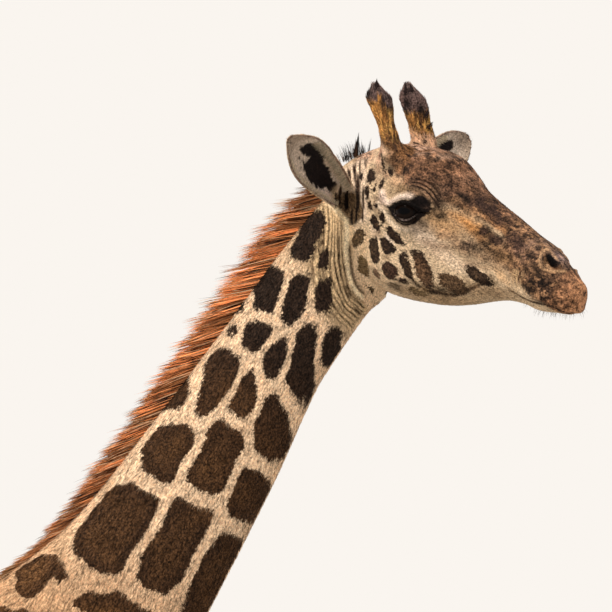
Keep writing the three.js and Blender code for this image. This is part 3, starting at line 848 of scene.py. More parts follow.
def face_relief(q):
    """How far the skin of the face stands out, for places given as of the left side."""
    x, y, z = q.T
    u, v = eye_view(q)
    beside = smooth(y, 0.035, 0.055) * (np.hypot(u, v) < 0.12)
    ridge = line_distance(u, v, LID_RIDGE)
    rise = 0.0040 * spot(x, z, 0.245, 0.006, 0.055, 0.013) * (y > 0.04)
    rise -= 0.0050 * spot(x, z, 0.150, 0.005, 0.040, 0.026) * smooth(y, 0.04, 0.07)
    rise += 0.0030 * groove(line_distance(x, z, CHEEK_RIDGE), 0.012)
    rise -= 0.0035 * spot(x, z, 0.36, -0.045, 0.05, 0.02)
    rise -= 0.0030 * spot(x, z, 0.43, -0.100, 0.05, 0.018)
    rise += 0.0036 * groove(ridge, 0.0060) * beside
    over_lid = smooth(u, 0.024, 0.010) * smooth(u, -0.034, -0.024)
    rise -= 0.0024 * groove(ridge - 0.010, 0.0035) * beside * over_lid
    rise += (0.0012 - 0.0046 * brow_wrinkles(u, v)) * beside * spot(u, v, 0.042, 0.045, 0.040, 0.034)
    fold = line_distance(x, z, JAW_FOLD)
    folded = smooth(x, 0.26, 0.31) * smooth(x, 0.49, 0.45)
    rise += (0.0036 * groove(fold - 0.012, 0.010) - 0.0058 * groove(fold, 0.0050)) * folded
    creases = np.sin((x + 0.35 * z) * 2 * math.pi / 0.0085)
    corner = spot(x, z, 0.512, -0.110, 0.020, 0.020)
    return rise + 0.0022 * creases * corner


def brow_wrinkles(u, v):
    """Depth of the wrinkles over the front half of the upper lid, 0 to 1."""
    return np.clip(sum(groove(line_distance(u, v, line), 0.0021) for line in WRINKLES), 0, 1)


def nostril_edge(x, z):
    """1 on the rim of the nostril, less inside it, and how far up across its slit a point lies."""
    dx, dz = x - 0.583, z + 0.041
    lean = math.radians(-30)
    u, v = dx * math.cos(lean) + dz * math.sin(lean), -dx * math.sin(lean) + dz * math.cos(lean)
    v = v - 0.35 * (u + 0.006) ** 2 / 0.024
    return np.hypot(u / 0.0240, v / 0.0088), v


def lip_creases(q):
    """Scribbled wrinkles on the side of the upper lip, 0 to 1 in their depths."""
    x, _, z = q.T
    wavy = q * [0.62, 1.0, 1.0] + 0.004 * np.stack([noise(q, 0.014, 7), 0 * x, noise(q, 0.014, 8)], 1)
    creases = groove(noise(wavy, 0.0085, 9), 0.20) + 0.7 * groove(noise(wavy, 0.0060, 10), 0.18)
    return np.clip(creases, 0, 1) * spot(x, z, *LIP_WRINKLES)


def muzzle_relief(q):
    x, y, z = q.T
    above = line_distance(x, z, MOUTH)
    along = smooth(x, 0.492, 0.515)
    rise = along * (-0.0065 * groove(above, 0.0030) + 0.0030 * groove(above - 0.011, 0.009))
    rise -= along * 0.0035 * groove(above + 0.009, 0.007)
    edge, v = nostril_edge(x, z)
    side = smooth(y, 0.012, 0.026)
    rise -= 0.018 * smooth(edge, 1.12, 0.55) * side
    rise += side * groove(edge - 1.46, 0.36) * np.where(v > 0, 0.0046, 0.0022)
    return rise - 0.0018 * lip_creases(q)


def beside_view(p, left):
    """Places as seen from beside, from the poll; those of the head are given as of its right half."""
    return np.where((head_share(p) > 0.5)[:, None], (left * [1, -1, 1]) @ HEAD_TURN.T, p - POLL)


def cords(p, left):
    """Depth of the valleys between cords of loose skin, 0 to 1, and where throat and temple have them."""
    r = beside_view(p, left)
    x, y, z = r[:, 0], np.abs(left[:, 1]), r[:, 2]
    behind = -line_distance(x, z, THROAT_LINE)
    under = -line_distance(x, z, EAR_FOOT_LINE)
    throat = smooth(behind, 0.001, 0.008) * smooth(behind, 0.105, 0.060) * smooth(under, 0.0, 0.010)
    throat *= smooth(z, -0.46, -0.34) * smooth(np.abs(r[:, 1]), 0.012, 0.035)
    temple = smooth(x, -0.034, -0.024) * smooth(x, 0.052, 0.026) * smooth(z, -0.155, -0.135)
    temple *= smooth(z, -0.004, -0.018) * smooth(y, 0.040, 0.055) * smooth(under, 0.006, -0.004)
    still = np.zeros(len(x))
    bends = 2.2 * noise(p * [1, 1, 0.22], 0.045, 3) + 0.6 * noise(p * [1, 1, 0.25], 0.018, 6)
    turns = behind / 0.0105 + bends
    fine = noise(np.stack([behind, still, z * 0.09], 1), 0.0048, 82)
    depth = np.clip(0.75 + 0.5 * noise(p * [1, 1, 0.4], 0.03, 4), 0.15, 1)
    on_throat = groove(turns - np.round(turns), 0.21) * depth + 0.8 * smooth(fine, 0.12, 0.5)
    bent_x = x + 0.0022 * noise(p * [1, 1, 0.5], 0.02, 5)
    strand = noise(np.stack([bent_x, still, z * 0.10], 1), 0.0043, 81)
    strand = strand + 0.5 * noise(np.stack([bent_x, still, z * 0.2], 1), 0.0085, 84)
    valley = np.where(throat > temple, on_throat, smooth(strand, -0.08, 0.22))
    return np.clip(valley, 0, 1), throat, temple


def tendon(p, left):
    """Distance in front of the pale cord from ear to throat, height, and 1 beside the cord."""
    r = beside_view(p, left)
    away = line_distance(r[:, 0], r[:, 2], TENDON)
    return away, r[:, 2], smooth(np.abs(left[:, 1]), 0.030, 0.045) * (np.abs(away) < 0.03)


def neck_relief(p, left):
    """Cords of skin behind the jaw and on the temple, and the folds along the jaw's back edge."""
    valley, throat, temple = cords(p, left)
    rise = (0.0014 - 0.0036 * valley) * throat + (0.0012 - 0.0034 * valley) * temple
    away, height, beside = tendon(p, left)
    rise += beside * 0.0030 * groove(away, 0.0050)
    low = smooth(height, -0.185, -0.205)
    fold = 0.0025 * groove(away - 0.0125, 0.0040) - 0.0045 * groove(away - 0.0065, 0.0032)
    rise += beside * low * fold
    return rise


def body_relief(p):
    """Shoulder blade, hip, ribs and the folds of elbow and flank."""
    x, y, z = (p - ORIGIN).T
    side = smooth(np.abs(y), 0.10, 0.18)
    rise = 0.012 * np.exp(-(line_distance(x, z, np.array([(-1.20, 2.62), (-0.93, 2.12)])) / 0.055) ** 2)
    rise += 0.014 * np.exp(-(((x + 2.05) / 0.07) ** 2 + ((z - 2.33) / 0.07) ** 2))
    rise -= 0.014 * np.exp(-(((x + 1.24) / 0.05) ** 2 + ((z - 1.98) / 0.24) ** 2))
    rise -= 0.016 * np.exp(-(((x + 1.92) / 0.09) ** 2 + ((z - 2.05) / 0.20) ** 2))
    ribs = np.sin((x + 0.25 * z) * 2 * math.pi / 0.085)
    rise += 0.0022 * ribs * np.exp(-(((x + 1.55) / 0.24) ** 2 + ((z - 2.12) / 0.22) ** 2))
    return rise * side


def shape_skin(mesh):
    """Moves the skin on to lids, nostrils, lips, folds and cords; gives where it lies about the eyes."""
    verts, normals = coordinates(mesh), normals_of(mesh)
    head = head_share(verts) * (1 - ear_share(verts))
    q = to_head(verts)
    side = np.where(q[:, 1] < 0, -1.0, 1.0)
    left = flipped(q, side)
    rise = (face_relief(left) + muzzle_relief(left)) * head
    rise += neck_relief(verts, left) * (1 - ear_share(verts))
    rise += body_relief(verts) * (to_neck(verts)[0] > 1.2)
    verts = verts + normals * rise[:, None]
    left, edge = shape_eye(flipped(to_head(verts), side))
    in_reach = edge < 9
    verts = np.where(in_reach[:, None], from_head(flipped(left, side)), verts)
    set_coordinates(mesh, verts)
    return edge


# ---------------------------------------------------------------- markings, with painted light and shade
FOREHEAD_LINE = np.array([(0.10, 0.052), (0.15, 0.034), (0.19, 0.018), (0.235, 0.004), (0.279, 0.000),
                          (0.323, -0.003), (0.371, -0.004), (0.424, -0.013), (0.481, -0.024),
                          (0.519, -0.029), (0.62, -0.03)])
MUZZLE_LINE = np.array([(0.425, 0.02), (0.445, -0.020), (0.465, -0.055), (0.488, -0.084), (0.515, -0.108),
                        (0.60, -0.13)])
DARK_STREAKS = [
    (0.343, 0.020, 0.026, 0.007, -28), (0.372, 0.022, 0.030, 0.008, -24),
    (0.414, 0.008, 0.034, 0.010, -28), (0.413, -0.029, 0.012, 0.009, 80),
    (0.446, -0.036, 0.018, 0.010, -10), (0.486, -0.024, 0.024, 0.013, -30),
]
ACROSS_GAP = 0.026  # pale lines between the patches of the trunk
NECK_GROWTH = 1.12, 1.16  # of the half lengths and half widths of the patches on the neck


def patch_field(u, v, rows, power=3.2, gap=None):
    """How deep inside the nearest patch a point lies; negative outside and in the gaps between patches."""
    best, second = np.full(len(u), -1.0), np.full(len(u), -1.0)
    for cu, cv, half_long, half_wide, angle in rows:
        a, b = leaning(u, v, cu, cv, angle)
        m = (np.abs(a / half_long) ** power + np.abs(b / half_wide) ** power) ** (1 / power)
        depth = (1 - m) * half_wide
        second = np.maximum(second, np.minimum(best, depth))
        best = np.maximum(best, depth)
    return best if gap is None else np.minimum(best, (best - second) / 2 - gap / 2)


def spot(x, z, cx, cz, rx, rz):
    return np.exp(-(((x - cx) / rx) ** 2 + ((z - cz) / rz) ** 2))


def over(colour, new, weight):
    """Lays a new colour over another as far as its weight goes."""
    return colour + (new - colour) * np.clip(weight, 0, 1)[:, None]


def layered(colour, *layers):
    """Lays colours over another one after the other: each has its 0 to 255 code and its weight."""
    for code, weight in layers:
        colour = over(colour, srgb(*code), weight)
    return colour


def leaning(x, z, cx, cz, angle):
    """Places along and across an oval that leans by angle degrees."""
    c, s = math.cos(math.radians(angle)), math.sin(math.radians(angle))
    return (x - cx) * c + (z - cz) * s, (z - cz) * c - (x - cx) * s


def toned(colour, x, z, rows):
    """Lays soft ovals of colour one over the other."""
    for cx, cz, half_long, half_wide, angle, red, green, blue, weight in rows:
        a, b = leaning(x, z, cx, cz, angle)
        far = (a / half_long) ** 2 + (b / half_wide) ** 2
        colour = over(colour, srgb(red, green, blue), weight * np.exp(-far ** 1.5))
    return colour


def scattered(points, spacing):
    """Indices of points at least their spacing apart, taken in a shuffled order."""
    order = rng.permutation(len(points))
    cell = 0.16
    grid, chosen = {}, []
    for i in order:
        key = tuple(np.floor(points[i] / cell).astype(int))
        near = []
        for dx in (-1, 0, 1):
            for dy in (-1, 0, 1):
                for dz in (-1, 0, 1):
                    near += grid.get((key[0] + dx, key[1] + dy, key[2] + dz), [])
        if all(np.sum((points[i] - points[j]) ** 2) > (0.5 * (spacing[i] + spacing[j])) ** 2 for j in near):
            grid.setdefault(key, []).append(i)
            chosen.append(i)
    return np.array(chosen)


def body_patches(p, seeds):
    """How deep a point lies in a patch of the pattern that the seeds share out among themselves."""
    wavy = np.stack([noise(p, 0.075, k) * 0.022 + noise(p, 0.030, k + 5) * 0.014 for k in (11, 12, 13)], 1)
    q = p + wavy
    at_once = 20000
    first, second = np.full(len(q), 9.0), np.full(len(q), 9.0)
    nearest, next_one = np.zeros(len(q), int), np.zeros(len(q), int)
    for start in range(0, len(q), at_once):
        these = slice(start, start + at_once)
        part = q[these]
        d = np.sum(part**2, 1)[:, None] + np.sum(seeds**2, 1)[None] - 2 * part @ seeds.T
        two = np.argpartition(d, 1, axis=1)[:, :2]
        value = np.take_along_axis(d, two, 1)
        swap = value[:, 0] > value[:, 1]
        two[swap] = two[swap][:, ::-1]
        value[swap] = value[swap][:, ::-1]
        first[these], second[these] = value.T
        nearest[these], next_one[these] = two.T
    between = np.linalg.norm(seeds[nearest] - seeds[next_one], axis=1)
    gap = ACROSS_GAP * (0.45 + 0.55 * smooth(p[:, 2], 0.9, 1.9))
    rim = (second - first) / (2 * np.maximum(between, 0.01)) - gap / 2
    return np.minimum(rim, 0.40 * between - np.sqrt(first))


def paint_face(p, q):
    """Ground colour, patch colour and depth in a patch on the head; q is p on the left side of the head."""
    x, y, z = q.T
    coarse, fine, third = noise(p, 0.020, 31), noise(p, 0.006, 32), noise(p, 0.018, 37)
    ground = over(CREAM_FACE, srgb(150, 122, 92), smooth(z, -0.10, 0.03) * 0.75 * smooth(x, 0.12, 0.20))
    ground = toned(ground, x + 0.005 * coarse, z + 0.005 * third, FACE_TONES)
    line = line_distance(x, z, FOREHEAD_LINE) + 0.006 * coarse
    rough = noise(p, 0.0040, 40)
    warm = smooth(noise(p, 0.011, 33) + 0.4 * fine, 0.1, 0.8)
    warm = warm * smooth(rough + 0.6 * fine, -0.5, 0.4)
    forehead = layered(
        srgb(104, 74, 54),
        ((44, 30, 24), smooth(coarse + 0.8 * fine + 0.7 * rough, -0.4, 0.8)),
        ((178, 130, 96), warm * (0.65 + 0.3 * smooth(y, 0.05, 0.01))),
        ((100, 76, 62), smooth(x, 0.40, 0.50) * 0.5),
        ((190, 142, 100), 0.7 * spot(x, z, 0.372, 0.012, 0.030, 0.012) * smooth(fine, -0.2, 0.5)),
    )
    ground = over(ground, forehead, smooth(line, -0.010, 0.012) * smooth(x, 0.14, 0.17))
    dark = patch_field(x + 0.004 * coarse, z + 0.004 * fine, DARK_STREAKS, 2.2)
    ground = over(ground, srgb(44, 31, 24), 0.9 * smooth(dark, -0.005, 0.004))
    ground = over(ground, *paint_crown(p, x, y, z))
    ground = paint_muzzle(ground, p, q, coarse, fine)
    ground = over(ground, srgb(178, 150, 118), 0.5 * smooth(y, 0.03, 0.0) * smooth(z, -0.10, -0.17))
    fold = line_distance(x, z, JAW_FOLD)
    folded = smooth(x, 0.26, 0.31) * smooth(x, 0.48, 0.44) * (y > 0.01)
    # Along the jaw's fold: a pale band on its ridge, painted highlight, and a dark line in its groove,
    # painted shade.
    ground = layered(
        ground,
        ((226, 194, 154), 0.6 * groove(fold - 0.010, 0.006) * folded),
        ((66, 48, 34), 0.95 * groove(fold + 0.001, 0.0050 + 0.0012 * coarse) * folded),
    )
    nose = side_nostril(x, y, z)
    shaded = toned(ground, x + 0.006 * coarse + 0.003 * fine, z + 0.006 * third, FACE_SHADES)
    deep = smooth(shaded.mean(1), 0.36, 0.14)
    streaky = noise(np.stack([x * 0.45 + z * 0.2, z, y], 1), 0.0060, 43)
    shaded = shaded * np.clip(1 + deep * (0.9 * streaky + 0.6 * noise(p, 0.011, 44)), 0.35, 1.9)[:, None]
    shaded = over(shaded, srgb(58, 41, 34), 0.8 * smooth(dark, -0.004, 0.003) * smooth(x, 0.35, 0.37))
    scribble = groove(noise(p * [1, 1, 1.5], 0.010, 45), 0.10)
    shaded = over(shaded, srgb(30, 22, 18), 0.6 * scribble * spot(x, z, 0.575, -0.082, 0.050, 0.026))
    # Creases at the mouth's corner, drawn as pale and dark streaks: painted highlight and painted shade.
    crease = noise(np.stack([x * 0.9 + z * 0.35, z * 0.35, y], 1), 0.0050, 46)
    corner = spot(x, z, 0.520, -0.098, 0.014, 0.030) * smooth(y, 0.02, 0.03)
    shaded = layered(
        shaded,
        ((216, 178, 134), 0.85 * corner * smooth(crease, -0.15, 0.15)),
        ((54, 40, 30), 0.6 * corner * smooth(crease, -0.25, -0.45)),
    )
    ground = over(shaded, ground, nose)
    mark = patch_field(x + 0.0022 * coarse + 0.0012 * fine, z + 0.0022 * third, FACE_PATCHES, 2.4, 0.006)
    mark = np.where(y > 0.02, mark, np.minimum(mark, y - 0.02))
    brown = smooth(mark, 0.002, 0.010) * smooth(coarse, -0.4, 0.7) * 0.5
    patch = over(PATCH_FACE, srgb(66, 48, 36), brown)
    patch = toned(patch, x + 0.003 * coarse, z + 0.003 * third, PATCH_TONES)
    flecks = smooth(noise(p, 0.0045, 39) + 0.4 * fine, 0.25, 0.7)
    patch = over(patch, srgb(150, 116, 86), 0.35 * flecks * smooth(mark, 0.003, 0.010))
    return ground, patch, mark


def side_nostril(x, y, z):
    """1 on the nostril and its rim."""
    return smooth(nostril_edge(x, z)[0], 2.4, 1.9) * smooth(y, 0.012, 0.024)


def paint_crown(p, x, y, z):
    """Pale skin with short dark strokes round the ossicones' feet, and how far it covers the ground."""
    strokes = noise(np.stack([x * 0.5, z * 0.8, y * 1.6], 1), 0.0042, 34)
    colour = over(srgb(204, 164, 138), srgb(40, 28, 24), smooth(strokes, 0.05, 0.32))
    colour = over(colour, srgb(150, 106, 76), 0.6 * smooth(noise(p, 0.012, 35), 0.0, 0.5))
    between = spot(x, z, 0.165, 0.080, 0.046, 0.026) * smooth(y, 0.075, 0.035)
    behind = spot(x, z, 0.125, 0.045, 0.020, 0.034)
    nape = spot(x, z, 0.062, 0.022, 0.050, 0.022) * smooth(y, 0.085, 0.060)
    return colour, np.maximum(np.maximum(between * 1.4, behind * 1.1), nape * 1.2)


def paint_muzzle(ground, p, q, coarse, fine):
    """Dark muzzle, its nostril and lips, laid over the ground, with painted shade in the nostril, the
    mouth's slit and the lip's creases and a painted highlight on the nostril's rim.
    """
    x, y, z = q.T
    snout = line_distance(x, z, MUZZLE_LINE) + 0.008 * coarse
    rough = noise(p, 0.0042, 40)
    speckle = smooth(noise(p, 0.0048, 36) + 0.5 * noise(p, 0.011, 38), 0.1, 0.5)
    muzzle = layered(
        srgb(96, 70, 52),
        ((36, 26, 21), smooth(coarse + 1.0 * fine + 0.8 * rough, -0.4, 0.9) * 0.9),
        ((178, 134, 98), speckle * 0.65),
        ((128, 106, 102), 0.7 * smooth(z, -0.048, -0.028) * smooth(x, 0.55, 0.59)),
    )
    tip = over(srgb(184, 131, 94), srgb(104, 72, 52), smooth(fine + rough, 0.1, 0.9))
    muzzle = over(muzzle, tip, 0.8 * smooth(x + 0.014 * coarse + 0.010 * fine, 0.606, 0.648))
    # Dark in the creases of the upper lip: painted shade.
    muzzle = over(muzzle, srgb(44, 32, 27), 0.8 * lip_creases(q))
    lips = line_distance(x, z, MOUTH)
    muzzle = over(muzzle, srgb(160, 126, 88), 0.8 * smooth(lips, -0.003, -0.009))
    ground = over(ground, muzzle, smooth(snout, -0.012, 0.016) * smooth(x, 0.44, 0.47))
    # The nostril: its rim pale, a painted highlight strongest on its upper side, and its hollow near black,
    # painted shade.
    edge, v = nostril_edge(x, z)
    side = smooth(y, 0.012, 0.024)
    rim = side * groove(edge - 1.55, 0.38) * np.where(v > 0, 1.0, 0.65)
    ground = layered(
        ground,
        ((206, 164, 124), 0.9 * rim),
        ((14, 9, 9), side * smooth(edge, 1.16, 0.86)),
    )
    # A dark line along the mouth's slit: painted shade.
    return over(ground, srgb(42, 30, 24), 0.9 * groove(lips, 0.0024) * smooth(x, 0.494, 0.51))


def paint_eye_rim(ground, q):
    """The dark bare rim round the eye, long to both corners, with painted shade of brow and lashes over its
    front, and the pale lid above it with a painted highlight.
    """
    u, v = eye_view(q)
    near = (q[:, 1] > 0.05) & (np.hypot(u, v) < 0.11)
    fine = 0.0012 * noise(q, 0.004, 41)
    ridge = line_distance(u, v, LID_RIDGE)
    ground = over(ground, srgb(142, 116, 86), 0.6 * spot(u, v, -0.018, 0.042, 0.024, 0.012) * near)
    brow = smooth(noise(q, 0.006, 42), 0.1, 0.6) * spot(u, v, -0.008, 0.050, 0.034, 0.014)
    ground = layered(
        ground,
        ((92, 72, 50), 0.8 * brow * near),
        # The pale ridge of the upper lid: pale skin with a painted highlight on the raised lid.
        ((238, 214, 196), 0.95 * groove(ridge, 0.0064) * smooth(u, 0.024, 0.006) * near),
        ((222, 194, 178), 0.7 * spot(u, v, -0.052, 0.028, 0.006, 0.015) * near),
        ((176, 140, 108), 0.35 * spot(u, v, 0.044, 0.040, 0.022, 0.014) * near),
        # Near black in the wrinkles over the lid: painted shade.
        ((30, 20, 16), brow_wrinkles(u, v) * near),
        ((60, 44, 33), 0.8 * spot(u, v, 0.066, 0.012, 0.010, 0.014) * near),
    )
    below = line_distance(u, v, DARK_RIM_FOOT)
    pale = groove(below + 0.009, 0.0042) * smooth(u, 0.02, -0.01) * near
    ground = over(ground, srgb(240, 216, 188), 0.85 * pale)
    # The near black bare skin round the eye; over the eye's front it reaches higher with a softer edge,
    # painted shade of brow and lashes.
    dark = np.minimum(-line_distance(u, v, DARK_RIM_TOP), below) + fine
    soft = 0.0022 + 0.0030 * spot(u, v, 0.012, 0.030, 0.012, 0.008)
    ground = over(ground, srgb(22, 15, 13), smooth(dark / soft, -1, 1) * near)
    far = np.linalg.norm(q - EYE_AT, axis=1)
    edge = eye_edge(*eye_angles(q))
    outer_side = (v < 0.0) * (far < 0.036) * (eye_plane(q)[2] > 0)
    # A grey arc on the wet edge of the lower lid: painted sheen.
    wet_sheen = groove(edge - 1.07, 0.035) * outer_side * smooth(np.abs(u + 0.004), 0.029, 0.022)
    ground = layered(
        ground,
        ((146, 128, 120), 0.75 * wet_sheen * near),
        ((78, 60, 50), 0.7 * spot(u, v, 0.040, 0.006, 0.008, 0.0030) * near),
    )
    return ground, near & (dark > -0.004)


# Patches of black hair in the ear's cup: along it, towards its upper edge, half length, half width, turn.
EAR_BLACKS = [
    (0.172, 0.020, 0.043, 0.015, -13), (0.128, -0.014, 0.042, 0.012, 8), (0.102, -0.001, 0.050, 0.021, 4),
    (0.046, 0.001, 0.046, 0.010, -3), (0.140, 0.008, 0.024, 0.016, 0), (0.196, -0.012, 0.004, 0.003, 0),
    (0.172, -0.024, 0.003, 0.003, 0),
]


def paint_ear(p, q, rolled):
    """Grey-white cup with black hair in it, cream back with small spots."""
    s, share, height, b = ear_local(q, rolled)
    a, coarse = s * EAR_LENGTH, noise(p, 0.030, 51)
    inner = layered(
        srgb(206, 186, 168),
        ((178, 158, 140), smooth(coarse, -0.4, 0.8) * 0.6),
        ((226, 206, 192), smooth(b, -0.002, -0.018) * smooth(a, 0.130, 0.060)),
        ((206, 178, 152), smooth(b, 0.014, 0.026) * smooth(a, 0.180, 0.110)),
        ((156, 136, 118), smooth(a, 0.205, 0.250) * 0.9),
        ((94, 64, 52), smooth(np.abs(share), 0.90, 0.98) * 0.85),
        ((100, 72, 58), smooth(s, 0.955, 0.99) * 0.8),
    )
    ragged = 0.0030 * noise(p, 0.009, 52) + 0.0020 * noise(p, 0.004, 55) + 0.0015
    black = np.maximum(patch_field(a, b, EAR_BLACKS[:5], 2.2) + ragged,
                       patch_field(a, b, EAR_BLACKS[5:], 2.0))
    inner = over(inner, srgb(24, 16, 15), smooth(black, -0.0015, 0.0015))
    outer = over(srgb(200, 176, 150), srgb(162, 140, 116), smooth(noise(p, 0.02, 53), -0.2, 0.9) * 0.6)
    spots = smooth(noise(p, 0.022, 54), 0.42, 0.56) * smooth(s, 0.75, 0.3)
    outer = over(outer, srgb(84, 62, 46), spots * 0.85)
    return over(outer, inner, smooth(height, -0.001, 0.001))


def paint(p, normals, seeds):
    """Ground colour, patch colour and depth inside a patch, for points of skin or the roots of its hair."""
    q = to_head(p)
    left = on_left(q)
    s, h, y = to_neck(p)
    height = p[:, 2]
    coarse, broad = noise(p, 0.05, 21), noise(p, 0.25, 22)
    ground = layered(
        CREAM,
        ((206, 160, 118), smooth(s, 0.80, 1.2) * 0.8),
        ((206, 172, 134), smooth(s, 0.34, 0.16) * 0.8),
        ((214, 186, 154), smooth(height, 1.85, 1.65) * smooth(height, 0.9, 1.3)),
        ((205, 176, 142), smooth(height, 1.0, 0.5)),
        ((168, 134, 100), smooth(height, 0.4, 0.16) * 0.6),
        ((180, 142, 104), smooth(coarse, 0.1, 0.9) * 0.25),
    )
    patch = layered(
        PATCH,
        ((58, 40, 28), smooth(broad, -0.2, 0.8) * 0.5),
        ((46, 33, 25), smooth(s, 0.62, 0.40)),
        ((120, 84, 52), smooth(coarse, 0.0, 1.0) * 0.35 * smooth(s, 0.4, 0.7)),
        ((120, 80, 46), smooth(s, 0.9, 1.5) * 0.5),
    )
    shift = np.where(y > 0, 0.035 * smooth(y, 0.0, 0.05), 0.0)
    warp = noise(p, 0.040, 23) * 0.006 + noise(p, 0.013, 24) * 0.0028
    warp_too = noise(p, 0.040, 25) * 0.006 + noise(p, 0.013, 26) * 0.0028
    longer, wider = NECK_GROWTH
    grown = [(u, v, long * longer, wide * wider, angle) for u, v, long, wide, angle in NECK_PATCHES]
    upper = patch_field(s + shift + warp, h + warp_too, grown, 3.0, 0.012 + 0.008 * smooth(s, 0.3, 0.9))
    upper = np.minimum(upper, smooth(np.abs(y), 0.006, 0.03) * 0.03 - 0.008)
    lower = np.minimum(body_patches(p, seeds), -0.024 - upper)
    paler = 0.035 * smooth(height, 0.62, 0.42) + 0.05 * smooth(normals[:, 2], -0.75, -0.95) * (height > 1.4)
    mark = np.where(s < 0.96, upper, np.maximum(lower, upper)) - paler - 0.1 * tail_share(p)
    warmer = 0.2 * smooth(s, 0.5, 0.8) + 0.3 * smooth(s, 0.85, 1.2)
    patch = over(patch, srgb(132, 92, 56), smooth(mark, 0.008, 0.030) * warmer)
    face_ground, face_patch, face_mark = paint_face(p, left)
    face_ground, rim = paint_eye_rim(face_ground, left)
    face_mark = np.where(rim, -0.01, face_mark)
    ear = ear_share(p)
    share = head_share(p)
    ground = over(ground, face_ground, share)
    patch = over(patch, face_patch, share)
    mark = np.where(share > 0.5, face_mark, mark)
    ground = over(ground, paint_ear(p, left, q[:, 1] > 0), ear)
    mark = np.where(ear > 0.2, -0.02, mark)
    stem, covered = paint_stem(p, q)
    ground = over(ground, stem, covered * (1 - ear))
    mark = np.where(covered > 0.5, -0.02, mark)
    ground = paint_cords(ground, p, left, ear)
    away, height_there, beside = tendon(p, left)
    band = groove(away, 0.0046 + 0.002 * spot(height_there, 0, -0.175, 0, 0.03, 1)) * beside * (1 - ear)
    ground = over(ground, srgb(250, 228, 190), band)
    mark = np.where(band > 0.45, np.minimum(mark, -0.01), mark)
    # Low down, a dark line in the fold in front of the pale cord: painted shade.
    low = smooth(height_there, -0.180, -0.200) * beside
    ground = over(ground, srgb(46, 34, 24), 0.95 * low * groove(away - 0.0075, 0.0034))
    return ground, patch, mark


def paint_cords(ground, p, left, ear):
    """Pale cords of loose skin on the throat and in front of the ear, with painted shade in the valleys
    between them and in the hollow below the ear's root.
    """
    valley, throat, temple = cords(p, left)
    temple = temple * (1 - ear)
    r = beside_view(p, left)
    x, z = r[:, 0], r[:, 2]
    ragged = 0.007 * noise(p * [1, 1, 0.3], 0.007, 83)
    # Pale throat and temple, with painted shade in the valleys between the cords.
    ground = layered(
        ground,
        ((226, 194, 150), 0.85 * throat),
        ((76, 57, 39), throat * np.clip(valley * (0.9 + 0.5 * noise(p, 0.012, 85)), 0, 1)),
        ((234, 208, 182), 0.9 * temple * smooth(x, 0.050, 0.030)),
        ((58, 41, 31), temple * valley * smooth(x, 0.060, 0.030)),
    )
    # The hollow below the ear's root painted dark: painted shade, with the cords faintly through it.
    deep = smooth(z + ragged, -0.074, -0.090) * smooth(x + ragged, 0.028, 0.020)
    deep *= smooth(z - 0.8 * x, -0.162, -0.152)
    deep *= smooth(np.abs(left[:, 1]), 0.040, 0.055) * smooth(x, -0.044, -0.034) * (temple > 0.01)
    inside = over(srgb(36, 26, 19), srgb(104, 80, 54), smooth(valley, 0.9, 0.1))
    return over(ground, inside, 0.97 * deep)


def paint_stem(p, q):
    """Colours of the hair on the ossicones, with painted light on their backs and painted sheen on the
    knobs, and 1 where it grows: on them and round their feet.
    """
    x, z = q[:, 0], q[:, 2]
    right = q[:, 1] < 0
    front = x - (0.150 - 0.66 * (z - 0.059))  # how far forward of the middle line
    along = np.stack([front, q[:, 1], z * 0.25], 1)
    streak, coarse = noise(along, 0.0045, 71), noise(p, 0.014, 72)
    gold = layered(
        srgb(146, 99, 54),
        ((74, 52, 33), smooth(coarse + 0.9 * streak, -0.3, 0.6)),
        # Lighter gold on the back of each ossicone, more on the right one: painted light.
        ((190, 134, 72), smooth(front, 0.006, -0.012) * np.where(right, 0.8, 0.3)),
        ((226, 172, 96), smooth(streak, 0.10, 0.4) * 0.65),
        ((52, 36, 26), smooth(streak, -0.05, -0.35) * (0.55 + 0.40 * smooth(front, -0.012, 0.004))),
    )
    foot = over(srgb(116, 80, 50), srgb(62, 43, 31), smooth(coarse + streak, -0.2, 0.6))
    pale = over(srgb(202, 160, 128), srgb(56, 38, 32), smooth(noise(p, 0.005, 75), 0.15, 0.45))
    foot = np.where(right[:, None], foot, pale)
    colour = over(gold, foot, smooth(z, np.where(right, 0.092, 0.096), np.where(right, 0.070, 0.080)))
    knob = over(srgb(104, 82, 76), srgb(34, 25, 24), smooth(coarse + 0.7 * streak, -0.45, 0.35))
    tongue = 0.022 * groove(front - 0.001, 0.008) * (np.abs(q[:, 1]) > SPREAD * MM)
    start = np.where(right, 0.134 + tongue, 0.122 + 0.3 * front)
    colour = over(colour, knob, smooth(z + 0.005 * streak + 0.003 * coarse, start, start + 0.007))
    # Pale grey over the tops of the knobs: painted sheen.
    colour = over(colour, srgb(150, 128, 120), 0.6 * smooth(z, 0.150, 0.172) * smooth(streak, 0.0, 0.5))
    height = (z - 0.038) + 0.3 * front
    distance = np.hypot(front / 1.25, np.abs(q[:, 1]) - SPREAD * MM)
    return colour, smooth(height, 0.012, 0.034) * smooth(distance, 0.044, 0.034)


def pattern_seeds(verts):
    """Middles of the patches on the lower neck, trunk and legs."""
    s = to_neck(verts)[0]
    open_to = np.flatnonzero((s > 1.03) & (tail_share(verts) < 0.1) & (verts[:, 2] > 0.1))
    places = verts[rng.choice(open_to, 9000, replace=False)]
    s, z = to_neck(places)[0], places[:, 2]
    spacing = np.interp(z, [0.2, 0.7, 1.0, 1.3, 1.7, 2.1], [0.040, 0.050, 0.062, 0.085, 0.135, 0.150])
    spacing = np.where(s < 1.9, np.minimum(spacing, 0.125), spacing)
    return places[scattered(places, spacing)]


def set_colours(mesh, name, rgb):
    layer = mesh.attributes.new(name, "FLOAT_COLOR", "POINT")
    layer.data.foreach_set("color", np.hstack([rgb, np.ones((len(rgb), 1))]).astype(np.float32).ravel())


